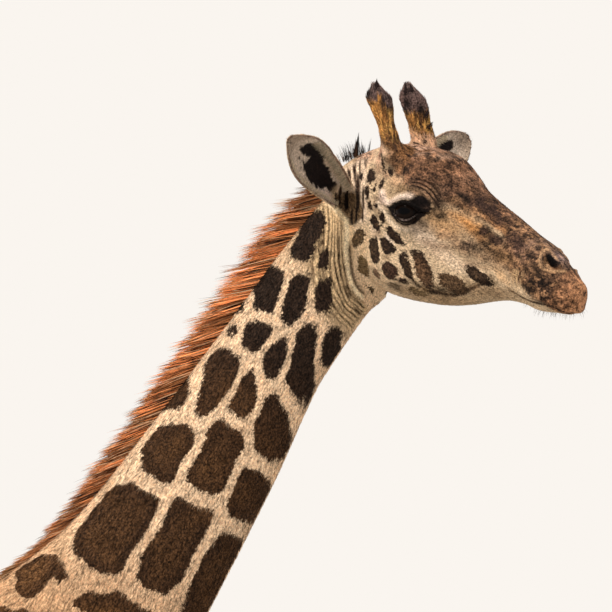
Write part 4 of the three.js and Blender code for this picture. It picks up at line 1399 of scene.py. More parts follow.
def set_numbers(mesh, name, values):
    layer = mesh.attributes.new(name, "FLOAT", "POINT")
    layer.data.foreach_set("value", np.asarray(values, np.float32))


def set_vectors(mesh, name, values):
    layer = mesh.attributes.new(name, "FLOAT_VECTOR", "POINT")
    layer.data.foreach_set("vector", np.asarray(values, np.float32).ravel())


# ---------------------------------------------------------------- the lie of the coat
def lie_of_coat(p):
    """Which way hair grows, before it is laid along the surface."""
    q = to_head(p)
    s = to_neck(p)[0]
    height = p[:, 2]
    d = over(np.array([-0.80, 0, -0.60]), np.array([0, 0, -1.0]), smooth(height, 1.95, 1.55))
    d = over(d, DOWN_NECK + 0.15 * TO_THROAT, smooth(s, 2.0, 1.5) * smooth(height, 1.9, 2.1))
    face = HEAD_TURN @ np.array([-0.94, 0, -0.30])
    d = over(d, face, head_share(p))
    d = over(d, HEAD_TURN @ np.array([-1.0, 0, 0.25]), head_share(p) * smooth(q[:, 2], 0.0, 0.05))
    side = np.where(q[:, 1] < 0, -1.0, 1.0)
    _, throat, temple = cords(p, flipped(q, side))
    forward = smooth((p - POLL)[:, 2], -0.24, -0.33)[:, None]
    d = over(d, np.array([0.06, 0, -1.0]) + np.array([0.6, 0, 0.2]) * forward, np.maximum(throat, temple))
    tipward = flipped(EAR_AXIS, side) @ HEAD_TURN.T
    ear = ear_share(p)[:, None]
    return unit(d * (1 - ear) + tipward * ear)


def combed(p, part):
    """Coordinates whose first axis runs along the coat, for streaks in the skin's bump."""
    s, h, y = to_neck(p)
    trunk = np.stack([-0.8 * p[:, 0] - 0.6 * p[:, 2], 0.6 * p[:, 0] - 0.8 * p[:, 2], p[:, 1]], 1)
    legs = np.stack([p[:, 2], p[:, 0], p[:, 1]], 1)
    comb = over(trunk, legs, smooth(p[:, 2], 1.7, 1.6))
    comb = over(comb, np.stack([s, h, y], 1), smooth(s, 1.8, 1.7) * smooth(p[:, 2], 1.9, 2.1))
    return over(comb, to_head(p), part)


def laid(direction, normals, lift):
    """Directions pressed on to the surface, then raised by lift radians."""
    along = unit(direction - normals * np.sum(direction * normals, 1)[:, None])
    return along * np.cos(lift)[:, None] + normals * np.sin(lift)[:, None]


def scatter_roots(verts, normals, tris, spacing):
    """Random places on the triangles, with normals, as dense as the corners' spacing says; 0 gives none."""
    a, b, c = verts[tris[:, 0]], verts[tris[:, 1]], verts[tris[:, 2]]
    area = 0.5 * np.linalg.norm(np.cross(b - a, c - a), axis=1)
    wide = spacing[tris].max(1)
    inside = (spacing[tris] > 0).mean(1)
    wanted = np.where(wide > 0, inside * area / np.maximum(wide, 1e-6) ** 2, 0)
    count = rng.poisson(wanted)
    pick = np.repeat(np.arange(len(tris)), count)
    u, v = rng.random(len(pick)), rng.random(len(pick))
    flip = u + v > 1
    u, v = np.where(flip, 1 - u, u), np.where(flip, 1 - v, v)
    mix = np.stack([1 - u - v, u, v], 1)[:, :, None]
    corner = tris[pick]
    return (verts[corner] * mix).sum(1), unit((normals[corner] * mix).sum(1))


def fast_mesh(name, verts, tris):
    mesh = bpy.data.meshes.new(name)
    mesh.vertices.add(len(verts))
    mesh.vertices.foreach_set("co", verts.astype(np.float32).ravel())
    mesh.loops.add(tris.size)
    mesh.loops.foreach_set("vertex_index", tris.astype(np.int32).ravel())
    mesh.polygons.add(len(tris))
    mesh.polygons.foreach_set("loop_start", np.arange(0, tris.size, 3, dtype=np.int32))
    mesh.update(calc_edges=True)
    return linked(name, mesh)


def strands(name, roots, paths, width, tint_root, tint_tip, unwrap):
    """Three-sided hairs or locks that taper to a point; paths gives each one's middle line, root to tip."""
    count, rings = paths.shape[0], paths.shape[1] - 1
    along = unit(np.gradient(paths, axis=1))
    side = unit(np.cross(along, np.array([0.31, 0.17, 0.93])))
    other = np.cross(along, side)
    share = np.arange(rings) / rings
    thick = width[:, None] * (1 - 0.75 * share**2)[None]
    turn_by = rng.random(count) * 2
    verts = []
    for k in range(3):
        angle = (turn_by + 2 * math.pi * k / 3)[:, None, None]
        verts.append(paths[:, :rings] + (side[:, :rings] * np.cos(angle) + other[:, :rings] * np.sin(angle))
                     * (thick / 2)[:, :, None])
    body = np.stack(verts, 2).reshape(count, rings * 3, 3)
    every = np.concatenate([body, paths[:, rings:]], 1)
    size = rings * 3 + 1
    faces = []
    for r in range(rings - 1):
        for k in range(3):
            a, b = r * 3 + k, r * 3 + (k + 1) % 3
            faces += [(a, b, b + 3), (a, b + 3, a + 3)]
    faces += [((rings - 1) * 3 + k, (rings - 1) * 3 + (k + 1) % 3, rings * 3) for k in range(3)]
    tris = (np.arange(count)[:, None, None] * size + np.array(faces)[None]).reshape(-1, 3)
    ob = fast_mesh(name, every.reshape(-1, 3), tris)
    blend = np.concatenate([np.repeat(share, 3), [1.0]])[None, :, None]
    tint = tint_root[:, None] + (tint_tip - tint_root)[:, None] * blend
    set_colours(ob.data, "tint", tint.reshape(-1, 3))
    centre = unwrap(roots)
    offset = np.concatenate([np.stack([np.tile([-0.0012, 0.0, 0.0012], rings),
                                       np.repeat(share, 3) * 0.003], 1),
                             [[0.0, 0.003]]])
    uv = (centre[:, None] + offset[None]).reshape(-1, 2)
    layer = ob.data.uv_layers.new(name="OFBake")
    layer.uv.foreach_set("vector", uv[tris.ravel()].astype(np.float32).ravel())
    smooth_shaded(ob)
    ob.data.update()
    return ob


def straight(roots, tips):
    """Middle lines for hairs without a bend."""
    return roots[:, None] + (tips - roots)[:, None] * np.array([0.0, 1.0])[None, :, None]


def bent(roots, start, length, pull, rings):
    """Middle lines that leave along start and bend by pull over their length."""
    t = (np.arange(rings + 1) / rings)[None, :, None]
    long = length[:, None, None]
    return roots[:, None] + start[:, None] * long * t + pull[:, None] * long * t**2


def round_body(axis_points, radius_direction):
    """An unwrap by turning round an axis; gives a function from places to a map's coordinates."""
    start, stop = (np.array(a, float) for a in axis_points)
    line = unit(stop - start)
    first = unit(radius_direction - line * (radius_direction @ line))
    second = np.cross(line, first)

    def place(p):
        r = p - start
        angle = np.arctan2(r @ second, r @ first) / (2 * math.pi) + 0.5
        along = (r @ line) / np.linalg.norm(stop - start)
        return np.stack([0.03 + 0.94 * angle, 0.03 + 0.94 * np.clip(along, 0, 1)], 1)

    return place


def flat_box(p):
    """An unwrap of limbs side by side: each quarter of the map holds one, turned round its own middle."""
    x, y, z = (p - ORIGIN).T
    fore = x > -1.6
    middle_x = np.where(fore, -0.96, -2.2)
    middle_y = 0.18 * np.sign(y)
    angle = np.arctan2(y - middle_y, x - middle_x) / (2 * math.pi) + 0.5
    column = fore * 2 + (y > 0)
    return np.stack([(column + 0.05 + 0.9 * angle) / 4, 0.03 + 0.94 * np.clip(z / 1.9, 0, 1)], 1)


# ---------------------------------------------------------------- materials
def tree_of(name):
    made = bpy.data.materials.new(name)
    made.use_nodes = True
    tree = made.node_tree
    return made, tree, tree.nodes["Principled BSDF"]


def add(tree, kind, settings=None, **values):
    """A node with its settings and the values of its sockets; a value may be another node's output."""
    made = tree.nodes.new(kind)
    for key, value in (settings or {}).items():
        setattr(made, key, value)
    for key, value in values.items():
        place = int(key[1:]) if key[0] == "i" and key[1:].isdigit() else key.replace("_", " ")
        if isinstance(value, bpy.types.NodeSocket):
            tree.links.new(value, made.inputs[place])
        else:
            made.inputs[place].default_value = value
    return made


def mixed(tree, factor, first, second, how="MIX"):
    made = add(tree, "ShaderNodeMix", {"data_type": "RGBA", "blend_type": how, "clamp_factor": True})
    for place, value in (("Factor_Float", factor), ("A_Color", first), ("B_Color", second)):
        target = next(s for s in made.inputs if s.identifier == place)
        if isinstance(value, bpy.types.NodeSocket):
            tree.links.new(value, target)
        else:
            target.default_value = value
    return next(s for s in made.outputs if s.identifier == "Result_Color")


def ranged(tree, value, low, high, to_low=0.0, to_high=1.0, how="LINEAR"):
    made = add(tree, "ShaderNodeMapRange", {"interpolation_type": how}, Value=value)
    for name, number in (("From Min", low), ("From Max", high), ("To Min", to_low), ("To Max", to_high)):
        made.inputs[name].default_value = number
    return made.outputs["Result"]


def attribute(tree, name):
    return add(tree, "ShaderNodeAttribute", {"attribute_name": name})


def noise_of(tree, where, scale, detail=3.0, rough=0.6):
    made = add(tree, "ShaderNodeTexNoise", Vector=where, Scale=scale, Detail=detail, Roughness=rough)
    return made.outputs[0]


def stretched(tree, place, by):
    """A place with each of its parts times its own number."""
    return add(tree, "ShaderNodeVectorMath", {"operation": "MULTIPLY"}, i0=place, i1=by).outputs[0]


def reckoned(tree, how, *numbers):
    """Numbers, or other nodes' outputs, put together by a Math node."""
    values = {f"i{place}": number for place, number in enumerate(numbers)}
    return add(tree, "ShaderNodeMath", {"operation": how}, **values).outputs[0]


def finish_shader(shader, colour, roughness, **values):
    """Colour, roughness and further values of a shader; an underscore in a name stands for a space."""
    shader.id_data.links.new(colour, shader.inputs["Base Color"])
    shader.inputs["Roughness"].default_value = roughness
    for name, value in values.items():
        shader.inputs[name.replace("_", " ")].default_value = value


def bumped(tree, shader, height, strength, distance):
    bump = add(tree, "ShaderNodeBump", Strength=strength, Distance=distance, Height=height)
    tree.links.new(bump.outputs[0], shader.inputs["Normal"])


def mottled(tree, place, colour, strength):
    """The colour with a grain about as wide as a tuft, strongest where dark; skin and hair share it."""
    fine = noise_of(tree, place, 250.0, 2.0)
    tone = ranged(tree, fine, 0.34, 0.66, 1 - 0.92 * strength, 1 + 1.15 * strength)
    grey = add(tree, "ShaderNodeCombineColor", Red=tone, Green=tone, Blue=tone).outputs[0]
    lightness = add(tree, "ShaderNodeRGBToBW", Color=colour).outputs[0]
    return mixed(tree, ranged(tree, lightness, 0.04, 0.32, 1.0, 0.42), colour, grey, "MULTIPLY")


def skin_material():
    made, tree, shader = tree_of("skin")
    place = add(tree, "ShaderNodeTexCoord").outputs["Object"]
    comb = stretched(tree, attribute(tree, "comb").outputs["Vector"], (60.0, 420.0, 420.0))
    hair = noise_of(tree, comb, 1.0, 2.0)
    jag = noise_of(tree, place, 150.0, 4.0)
    jag = ranged(tree, jag, 0.3, 0.7, -0.0035, 0.0035)
    depth = reckoned(tree, "ADD", attribute(tree, "mark").outputs["Fac"], jag)
    share = ranged(tree, depth, -0.0016, 0.0016, how="SMOOTHSTEP")
    ground_colour = attribute(tree, "ground").outputs["Color"]
    colour = mixed(tree, share, ground_colour, attribute(tree, "patch").outputs["Color"])
    light = mixed(tree, ranged(tree, hair, 0.3, 0.7), (0.40, 0.38, 0.36, 1), (1.36, 1.32, 1.26, 1))
    colour = mixed(tree, 0.75, colour, light, "MULTIPLY")
    colour = mottled(tree, place, colour, 0.85)
    pores = noise_of(tree, place, 900.0, 2.0)
    bumped(tree, shader, reckoned(tree, "MULTIPLY_ADD", pores, 0.3, hair), 0.6, 0.0012)
    finish_shader(shader, colour, 0.8, Specular_IOR_Level=0.12)
    return made


def hair_material(name, roughness=0.72, strength=0.85):
    made, tree, shader = tree_of(name)
    place = add(tree, "ShaderNodeTexCoord").outputs["Object"]
    colour = mottled(tree, place, attribute(tree, "tint").outputs["Color"], strength)
    finish_shader(shader, colour, roughness, Specular_IOR_Level=0.12)
    return made


def eye_material():
    made, tree, shader = tree_of("eye_wet")
    place = add(tree, "ShaderNodeTexCoord").outputs["Object"]
    fibres = ranged(tree, noise_of(tree, place, 700.0, 3.0), 0.3, 0.7, 0.6, 1.4)
    grey = add(tree, "ShaderNodeCombineColor", Red=fibres, Green=fibres, Blue=fibres).outputs[0]
    colour = mixed(tree, 1.0, attribute(tree, "tint").outputs["Color"], grey, "MULTIPLY")
    finish_shader(shader, colour, 0.15, IOR=1.15)
    return made


def horn_material():
    made, tree, shader = tree_of("hoof_horn")
    place = add(tree, "ShaderNodeTexCoord").outputs["Object"]
    long = stretched(tree, place, (420.0, 420.0, 30.0))
    across = stretched(tree, place, (12.0, 12.0, 240.0))
    streaks, rings = noise_of(tree, long, 1.0), noise_of(tree, across, 1.0)
    colour = mixed(tree, ranged(tree, streaks, 0.3, 0.7), (*srgb(46, 36, 30), 1), (*srgb(92, 74, 58), 1))
    colour = mixed(tree, ranged(tree, rings, 0.45, 0.7, 0, 0.5), colour, (*srgb(120, 100, 80), 1))
    bumped(tree, shader, reckoned(tree, "ADD", streaks, rings), 0.5, 0.0008)
    finish_shader(shader, colour, 0.48)
    return made


# ---------------------------------------------------------------- the animal
def finish_piece(ob, slot, look, *nodes):
    """Gives a piece its material, hangs it under the root and hides the nodes of the CAD it stands for;
    slot is not used.
    """
    ob.data.materials.clear()
    ob.data.materials.append(look)
    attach(ob, "root")
    if nodes:
        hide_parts(*nodes)


LEG_NODES = [f"{leg}_{side}_{part}" for leg in ("foreleg", "hindleg") for side in SIDES
             for part in ("upper", "cannon", "pastern")]
FLESH = ["trunk", "neck_lower", "neck_middle", "neck_upper", "head", "lower_jaw", "ear_left", "ear_right",
         "tail"]
skin_look, coat_look = skin_material(), hair_material("coat_hair")
mane_look, dark_look = hair_material("mane_hair", 0.6, 0.4), hair_material("tuft_hair", 0.5, 0.25)

skin = one_skin()
lid_edge = shape_skin(skin.data)
places, normals = coordinates(skin.data), normals_of(skin.data)
seeds = pattern_seeds(places)
ground, patch, mark = paint(places, normals, seeds)
set_colours(skin.data, "ground", ground)
set_colours(skin.data, "patch", patch)
set_numbers(skin.data, "mark", mark)
set_vectors(skin.data, "comb", combed(places, head_share(places)))
smooth_shaded(skin)
finish_piece(skin, "coat", skin_look, *FLESH, *LEG_NODES)


def tint_of(p, n):
    """Colours of hairs rooted at p: the skin's there, mottled along the coat and most where it is dark."""
    ground_at, patch_at, depth = paint(p, n, seeds)
    depth = depth + noise(p, 0.006, 61) * 0.0022 + rng.normal(0, 0.0008, len(p))
    tint = over(ground_at, patch_at, smooth(depth, -0.0012, 0.0012))
    there = combed(p, head_share(p))
    rough = np.interp(ground_at.mean(1), [0.06, 0.30], [1.7, 1.0])
    grain = 0.72 * noise(there * [0.35, 1, 1], 0.0046, 62) + 0.30 * noise(there * [0.5, 1, 1], 0.0095, 63)
    return tint * np.clip(rng.normal(1.0, 0.30, len(p)) + rough * grain, 0.2, 2.4)[:, None]


def coat(name, where, spacing, length, width, lift, unwrap):
    """A piece of short coat on the corners of the skin that where picks out."""
    gap = np.where(where, spacing, 0.0) * 1
    roots, up_at = scatter_roots(places, normals, skin_tris, gap)
    stature = length(roots)
    kept = stature > SHORTEST_HAIR
    roots, up_at, stature = roots[kept], up_at[kept], stature[kept]
    count = len(roots)
    direction = lie_of_coat(roots) + rng.normal(0, 0.13, (count, 3))
    raised = lift * np.clip(rng.normal(1, 0.35, count), 0.2, 2.2)
    way = laid(direction, up_at, raised)
    stature = stature * rng.uniform(0.75, 1.2, count)
    base = roots - up_at * ROOT_DEPTH
    tint = tint_of(roots, up_at)
    thick = width * np.clip(stature / stature.mean(), 0.5, 1.4) * rng.uniform(0.8, 1.2, count)
    thick = thick * 1
    paths = straight(base, base + way * stature[:, None])
    ob = strands(name, base, paths, thick, tint * ROOT_SHADE, tint * TIP_SHADE, unwrap)
    finish_piece(ob, "coat", coat_look)


skin_tris = triangles_of(skin.data)
neck_down = to_neck(places)[0]
head_part, ear_part = head_share(places) > 0.5, ear_share(places) > 0.5
head_left = on_left(to_head(places))
opening = lid_edge < 1.12
nostril = (nostril_edge(head_left[:, 0], head_left[:, 2])[0] < 1.05) & (head_left[:, 1] > 0.012)
hoof_zone = places[:, 2] < 0.112
above_neck = (places[:, 2] > 2.0) & (neck_down < 1.85)
upper_neck = ~head_part & ~ear_part & (neck_down < 0.78) & above_neck
middle_neck = ~head_part & (neck_down >= 0.78) & (neck_down < 1.2) & above_neck
lower_neck = (neck_down >= 1.2) & above_neck
legs_part = (places[:, 2] < 1.70) & ~hoof_zone & (tail_share(places) < 0.5)
tail_part = tail_share(places) >= 0.5
trunk_part = ~above_neck & (places[:, 2] >= 1.70) & ~tail_part


def face_hair(p):
    """Length of the hair on the head: short on muzzle and lids, none on the bare rims."""
    q = on_left(to_head(p))
    length = 0.0058 - 0.0024 * smooth(q[:, 0], 0.38, 0.56)
    near_eye = np.linalg.norm(q - EYE_AT, axis=1)
    length = np.minimum(length, 0.0022 + 0.16 * np.maximum(near_eye - 0.032, 0))
    nose = nostril_edge(q[:, 0], q[:, 2])[0]
    length = np.where(q[:, 1] > 0.012, length * smooth(nose, 0.9, 2.2), length)
    length = length + 0.004 * smooth(q[:, 0], 0.10, 0.03) * smooth(q[:, 2], -0.02, 0.0)
    length = length + 0.005 * paint_stem(p, to_head(p))[1]
    return np.where(near_eye < 0.0335, 0.0, length)


def even(length):
    return lambda p: np.full(len(p), length)


def leg_hair(p):
    return 0.007 + 0.009 * smooth(p[:, 2], 0.3, 1.5)


head_map = round_body((from_head(np.array([-0.05, 0, -0.10])), from_head(np.array([0.70, 0, -0.10]))),
                      HEAD_TURN @ np.array([0, 0, -1.0]))
NECK_MIDDLE = POLL + TO_THROAT * 0.12
neck_map = round_body((NECK_MIDDLE + DOWN_NECK * -0.15, NECK_MIDDLE + DOWN_NECK * 2.2), TO_THROAT)
trunk_map = round_body((ORIGIN + [-0.6, 0, 2.1], ORIGIN + [-2.6, 0, 2.1]), np.array([0, 0, -1.0]))

# Each piece of coat: where it grows, metres between hairs, their length, width and lift in radians, unwrap.
coat("coat_head", head_part & ~ear_part & ~opening & ~nostril, 0.0030, face_hair, 0.00085, 0.20, head_map)
coat("coat_ears", ear_part, 0.0032, even(0.0075), 0.0007, 0.16, head_map)
coat("coat_neck_upper", upper_neck, 0.0028, even(0.0092), 0.0009, 0.22, neck_map)
coat("coat_neck_middle", middle_neck, 0.0034, even(0.0115), 0.0011, 0.24, neck_map)
coat("coat_neck_lower", lower_neck, 0.0060, even(0.0170), 0.0020, 0.22, neck_map)
coat("coat_trunk", trunk_part, 0.0084, even(0.0200), 0.0026, 0.20, trunk_map)
coat("coat_legs", legs_part, 0.0075, leg_hair, 0.0018, 0.18, flat_box)
coat("coat_tail", tail_part, 0.0060, even(0.0140), 0.0018, 0.16, flat_box)


# ---------------------------------------------------------------- mane, crown, tail and other long hair
def mane():
    tops = np.array([[row[0], row[1]] for row in NECK]) * MM
    line = np.stack([tops[:, 0], np.zeros(len(tops)), tops[:, 1]], 1)
    dense = in_body(spline(line, np.linspace(0.02, 0.985, 400)))
    arc = np.concatenate([[0], np.cumsum(np.linalg.norm(np.diff(dense, axis=0), axis=1))])
    count = 9500
    along = rng.uniform(0, arc[-1], count)
    middle = np.stack([np.interp(along, arc, dense[:, k]) for k in range(3)], 1)
    down = to_neck(middle)[0]
    offset = rng.uniform(-1, 1, count)
    outward = unit(np.array([-math.sin(NECK_LEAN), 0, math.cos(NECK_LEAN)]))
    roots = middle - outward * (0.012 + 0.010 * offset**2)[:, None]
    roots = roots + np.array([0, 0.019, 0]) * offset[:, None]
    clump = np.floor(along / MANE_LOCK + 0.35 * np.sin(offset * 3 + along * 40)).astype(int)
    clump_id = clump * 3 + np.digitize(offset, [-0.4, 0.4])
    clump_id = clump_id - clump_id.min()
    seeds_of = np.random.default_rng(SEED + 1).random((clump_id.max() + 1, 4))[clump_id]
    lean = np.radians(np.interp(down, [0.0, 0.35, 0.9, 1.5], [10, 14, 24, 34]) + 7 * (seeds_of[:, 0] - 0.5)
                      + rng.normal(0, 2.5, count))
    way = np.stack([-np.cos(lean), offset * 0.05 + rng.normal(0, 0.03, count), -np.sin(lean)], 1)
    length = np.interp(down, [0.0, 0.10, 0.5, 0.7, 0.95, 1.3, 1.7],
                       [0.100, 0.125, 0.127, 0.115, 0.098, 0.085, 0.060])
    length = length * (0.76 + 0.30 * seeds_of[:, 1]) * rng.uniform(0.70, 1.03, count)
    centre = (clump + 0.5) * MANE_LOCK
    draw = DOWN_NECK * np.clip(along - centre, -0.008, 0.008)[:, None] * 1.1
    sway = np.stack([np.zeros(count), (seeds_of[:, 2] - 0.5) * 0.10, -0.02 * np.ones(count)], 1)
    pull = draw / length[:, None] + sway
    paths = bent(roots, way, length, pull, 4)
    tone = rng.normal(1.0, 0.30, count) * (0.40 + 1.25 * seeds_of[:, 3])
    tint = MANE_BROWN * np.clip(tone, 0.3, 1.7)[:, None]
    tint = over(tint, srgb(92, 56, 36), smooth(down, 0.50, 1.10) * 0.6)
    # Pale strands: painted highlights of sunlit hair.
    light = rng.random(count) < 0.18
    tint[light] = srgb(242, 198, 154)
    # Near black strands: partly darker hair and partly painted shade in the gaps between locks.
    dark = rng.random(count) < 0.20
    tint[dark] = srgb(46, 27, 18)
    tip = tint * 1.1
    tip = over(tip, BLACK_HAIR, smooth(down, 0.14, 0.02) * 0.85)
    # Paler gold tips low down the neck: painted backlight.
    tip = over(tip, srgb(206, 158, 104), smooth(down, 0.9, 1.3) * 0.55)
    thick = 0.0018 * rng.uniform(0.7, 1.3, count) * 1
    ob = strands("mane_hair", roots, paths, thick, tint * 0.7, tip, neck_map)
    finish_piece(ob, "mane", mane_look, "mane")


def lock(base, tip, spread, count):
    """Middle lines of a pointed wisp: hairs that start about its base and draw together towards its tip."""
    base, tip = np.array(base), np.array(tip)
    roots = base + rng.normal(0, 1, (count, 3)) * spread
    t = (np.arange(5) / 4)[None, :, None]
    ends = base + (tip - base) * rng.uniform(0.55, 1.0, count)[:, None] + rng.normal(0, 0.0006, (count, 3))
    knee = (roots + ends) / 2 + (roots - base) * 0.35
    return roots[:, None] * (1 - t) ** 2 + knee[:, None] * 2 * t * (1 - t) + ends[:, None] * t**2


def crown():
    """Stiff black bristles between the ears, before the mane: pointed wisps and a sparse fan of hairs."""
    thin = 1
    wisps = [
        ((0.015, 0.0, 0.004), (0.004, 0.002, 0.054), 0.0026, 70),
        ((0.010, 0.006, 0.002), (-0.005, 0.008, 0.042), 0.0022, 26),
        ((0.020, -0.006, 0.004), (0.014, -0.008, 0.042), 0.0020, 24),
        ((0.044, 0.0, 0.013), (0.039, 0.001, 0.055), 0.0013, 14),
        ((0.030, 0.004, 0.010), (0.020, 0.005, 0.032), 0.0030, 26),
    ]
    paths = np.concatenate([lock(base, tip, spread, count // thin) for base, tip, spread, count in wisps])
    count = 230 // thin
    x = rng.uniform(-0.012, 0.030, count)
    y = rng.normal(0, 0.014, count)
    ground_there = np.interp(x, [-0.012, 0.006, 0.017, 0.044], [-0.020, -0.005, 0.003, 0.014]) - 8.0 * y**2
    roots = np.stack([x, y, ground_there], 1)
    fan = np.stack([-0.25 - 14 * np.maximum(0.020 - x, 0), y * 5, np.ones(count)], 1)
    way = unit(fan + rng.normal(0, 0.14, (count, 3)))
    length = rng.uniform(0.010, 0.038, count) * (1 - 0.4 * smooth(np.abs(y), 0.006, 0.024))
    pull = np.array([[-0.15, 0, -0.02]]) * np.ones((count, 1))
    paths = np.concatenate([paths, bent(roots, way, length, pull, 4)])
    count = len(paths)
    tint = BLACK_HAIR * rng.uniform(0.6, 1.6, count)[:, None]
    warm = rng.random(count) < 0.10
    tint[warm] = srgb(110, 74, 50)
    paths = lines_from_head(paths)
    thick = np.full(count, 0.0007)
    ob = strands("crown_tuft", paths[:, 0], paths, thick, tint, tint, head_map)
    finish_piece(ob, "mane", dark_look)


def tail_tuft():
    count = 1500
    t = rng.random(count)
    z = 1.45 - 0.14 * t**2
    middle = in_body(np.stack([np.full(count, -2.466), np.zeros(count), z], 1))
    angle = rng.uniform(0, 2 * math.pi, count)
    outward = np.stack([np.cos(angle), np.sin(angle), np.zeros(count)], 1)
    roots = middle + outward * 0.008
    length = rng.uniform(0.30, 0.62, count)
    length = np.minimum(length, z - 0.795)
    t = (np.arange(9) / 8)[None, :, None]
    swell = 0.024 * np.sin(np.minimum(t * 1.25, 1) * math.pi) ** 0.8 * rng.random(count)[:, None, None]
    wave = 0.004 * np.sin(t * 14 + angle[:, None, None] * 3) * t
    paths = roots[:, None] + np.array([0, 0, -1.0]) * length[:, None, None] * t
    paths = paths + outward[:, None] * (swell + wave)
    tint = BLACK_HAIR * rng.uniform(0.5, 1.8, count)[:, None]
    ob = strands("tail_tuft_hair", roots, paths, np.full(count, 0.0025), tint, tint * 0.9, flat_box)
    finish_piece(ob, "tail_tuft", dark_look, "tail_tuft")


def lashes(side):
    out, ahead, above = eye_frame()
    count = 150
    a = np.radians(rng.uniform(-44, 56, count))
    b = np.radians(EYE_OPEN[1] * slit(np.degrees(a)) * 1.06)
    way_out = unit(out + ahead * np.tan(a)[:, None] + above * np.tan(b)[:, None])
    roots = EYE_AT + way_out * (EYE_RADIUS + 0.0030)
    start = way_out + above * 0.10 + ahead * (0.25 + 0.5 * np.sin(a))[:, None]
    start = unit(start + rng.normal(0, 0.10, (count, 3)))
    length = rng.uniform(0.018, 0.030, count) * (0.75 + 0.35 * smooth(np.degrees(a), -30, 30))
    pull = -above * 0.42 - out * 0.16
    paths = bent(roots, start, length, np.ones((count, 1)) * pull, 4)
    flip = np.array([1, side, 1])
    tint = np.ones((count, 1)) * srgb(24, 18, 16)
    paths = lines_from_head(paths * flip)
    name = f"lashes_{SIDE_NAME[side]}"
    ob = strands(name, from_head(roots * flip), paths, np.full(count, 0.0008), tint, tint, head_map)
    finish_piece(ob, "mane", dark_look)


def ear_hair(side):
    """Soft pale hair that grows in from the edges of the cup, longest from the upper one."""
    count = 1600
    upper = rng.random(count) < 0.72
    s = np.where(upper, rng.uniform(0.05, 0.72, count), rng.uniform(0.05, 0.85, count))
    edge = np.where(upper, rng.uniform(0.72, 0.97, count), -rng.uniform(0.84, 0.97, count))
    rolled = int(side > 0)
    opening, broad = ear_frame(rolled)
    roots = ear_point(s, edge, -EAR_WALL - 0.0002, rolled)
    inward = -broad * np.sign(edge)[:, None] * 0.9 + EAR_AXIS * 0.45 + opening * 0.10
    way = unit(inward + rng.normal(0, 0.20, (count, 3)))
    length = np.where(upper, rng.uniform(0.011, 0.020, count), rng.uniform(0.006, 0.012, count))
    length = length * (1.1 - 0.5 * s)
    paths = bent(roots, way, length, np.ones((count, 1)) * (EAR_AXIS * 0.25), 3)
    tint = srgb(232, 210, 178) * rng.uniform(0.5, 1.15, count)[:, None]
    flip = np.array([1, side, 1])
    paths = lines_from_head(paths * flip)
    name = f"ear_hair_{SIDE_NAME[side]}"
    ob = strands(name, from_head(roots * flip), paths, np.full(count, 0.0006), tint * 0.8, tint, head_map)
    finish_piece(ob, "coat", coat_look)


# Wisps on the ossicones: base, tip, spread and number of hairs.
STEM_WISPS = {
    "right": [((0.064, -0.067, 0.172), (0.058, -0.067, 0.192), 0.0030, 60)],
    "left": [
        ((0.066, 0.046, 0.158), (0.055, 0.046, 0.186), 0.0026, 60),
        ((0.078, 0.052, 0.166), (0.064, 0.048, 0.187), 0.0026, 60),
        ((0.134, 0.058, 0.108), (0.142, 0.060, 0.124), 0.0030, 40),
        ((0.120, 0.060, 0.128), (0.122, 0.060, 0.146), 0.0030, 40),
    ],
}


def ossicone(side):
    """A bony core with hair that lies up it and ends in dark pointed wisps on the knob."""
    name = SIDE_NAME[side]
    foot = [at((171, 47), (124, 32), 52, y=SPREAD, splay=8),
            at((153, 85), (108, 66), 44, y=SPREAD + 2, splay=8)]
    verts, faces = loft(foot + OSSICONE[2:], 36, 60, (0, 8), CORE_INSET)
    core = new_object(f"ossicone_core_{name}", from_head(verts * [1, side, 1]), [f[::side] for f in faces])
    fix_normals(core)
    around, facing = coordinates(core.data), normals_of(core.data)
    set_colours(core.data, "tint", paint_stem(around, to_head(around))[0] * 0.8)
    finish_piece(core, "ossicone", coat_look, f"ossicone_{name}")
    smooth_shaded(core)
    spacing = np.full(len(around), 0.0022 * (1))
    roots, up_at = scatter_roots(around, facing, triangles_of(core.data), spacing)
    q = to_head(roots)
    count = len(roots)
    clump = np.stack([noise(q * [1, 1, 0.4], 0.008, k) for k in (76, 77, 78)], 1)
    rise = HEAD_TURN @ unit(np.array([-0.55, 0, 0.835]))
    way = laid(rise + 0.35 * clump + rng.normal(0, 0.10, (count, 3)), up_at,
               np.radians(rng.uniform(4, 15, count)))
    high = smooth(q[:, 2], 0.148, 0.176)
    peak = from_head(np.array([0.050, side * (SPREAD * MM + 0.002), 0.190]))
    way = unit(way * (1 - 0.45 * high[:, None]) + unit(peak - roots) * 0.45 * high[:, None])
    length = rng.uniform(0.009, 0.016, count) * (1 - 0.15 * high)
    tint = paint_stem(roots, q)[0] * rng.uniform(0.45, 1.55, count)[:, None]
    pull = np.ones((count, 1)) * (rise * 0.10)
    paths = bent(roots - up_at * 0.0005, way, length, pull, 2)
    thick = np.full(count, 0.0011 * (1))
    ob = strands(f"ossicone_hair_{name}", roots, paths, thick, tint * 0.78, tint * 1.15, head_map)
    finish_piece(ob, "ossicone", coat_look)
    paths = lines_from_head(np.concatenate([lock(*wisp) for wisp in STEM_WISPS[name]]))
    count = len(paths)
    tint = srgb(52, 38, 36) * rng.uniform(0.6, 1.5, count)[:, None]
    thick = np.full(count, 0.0009)
    ob = strands(f"ossicone_wisps_{name}", paths[:, 0], paths, thick, tint, tint * 0.8, head_map)
    finish_piece(ob, "ossicone", dark_look)


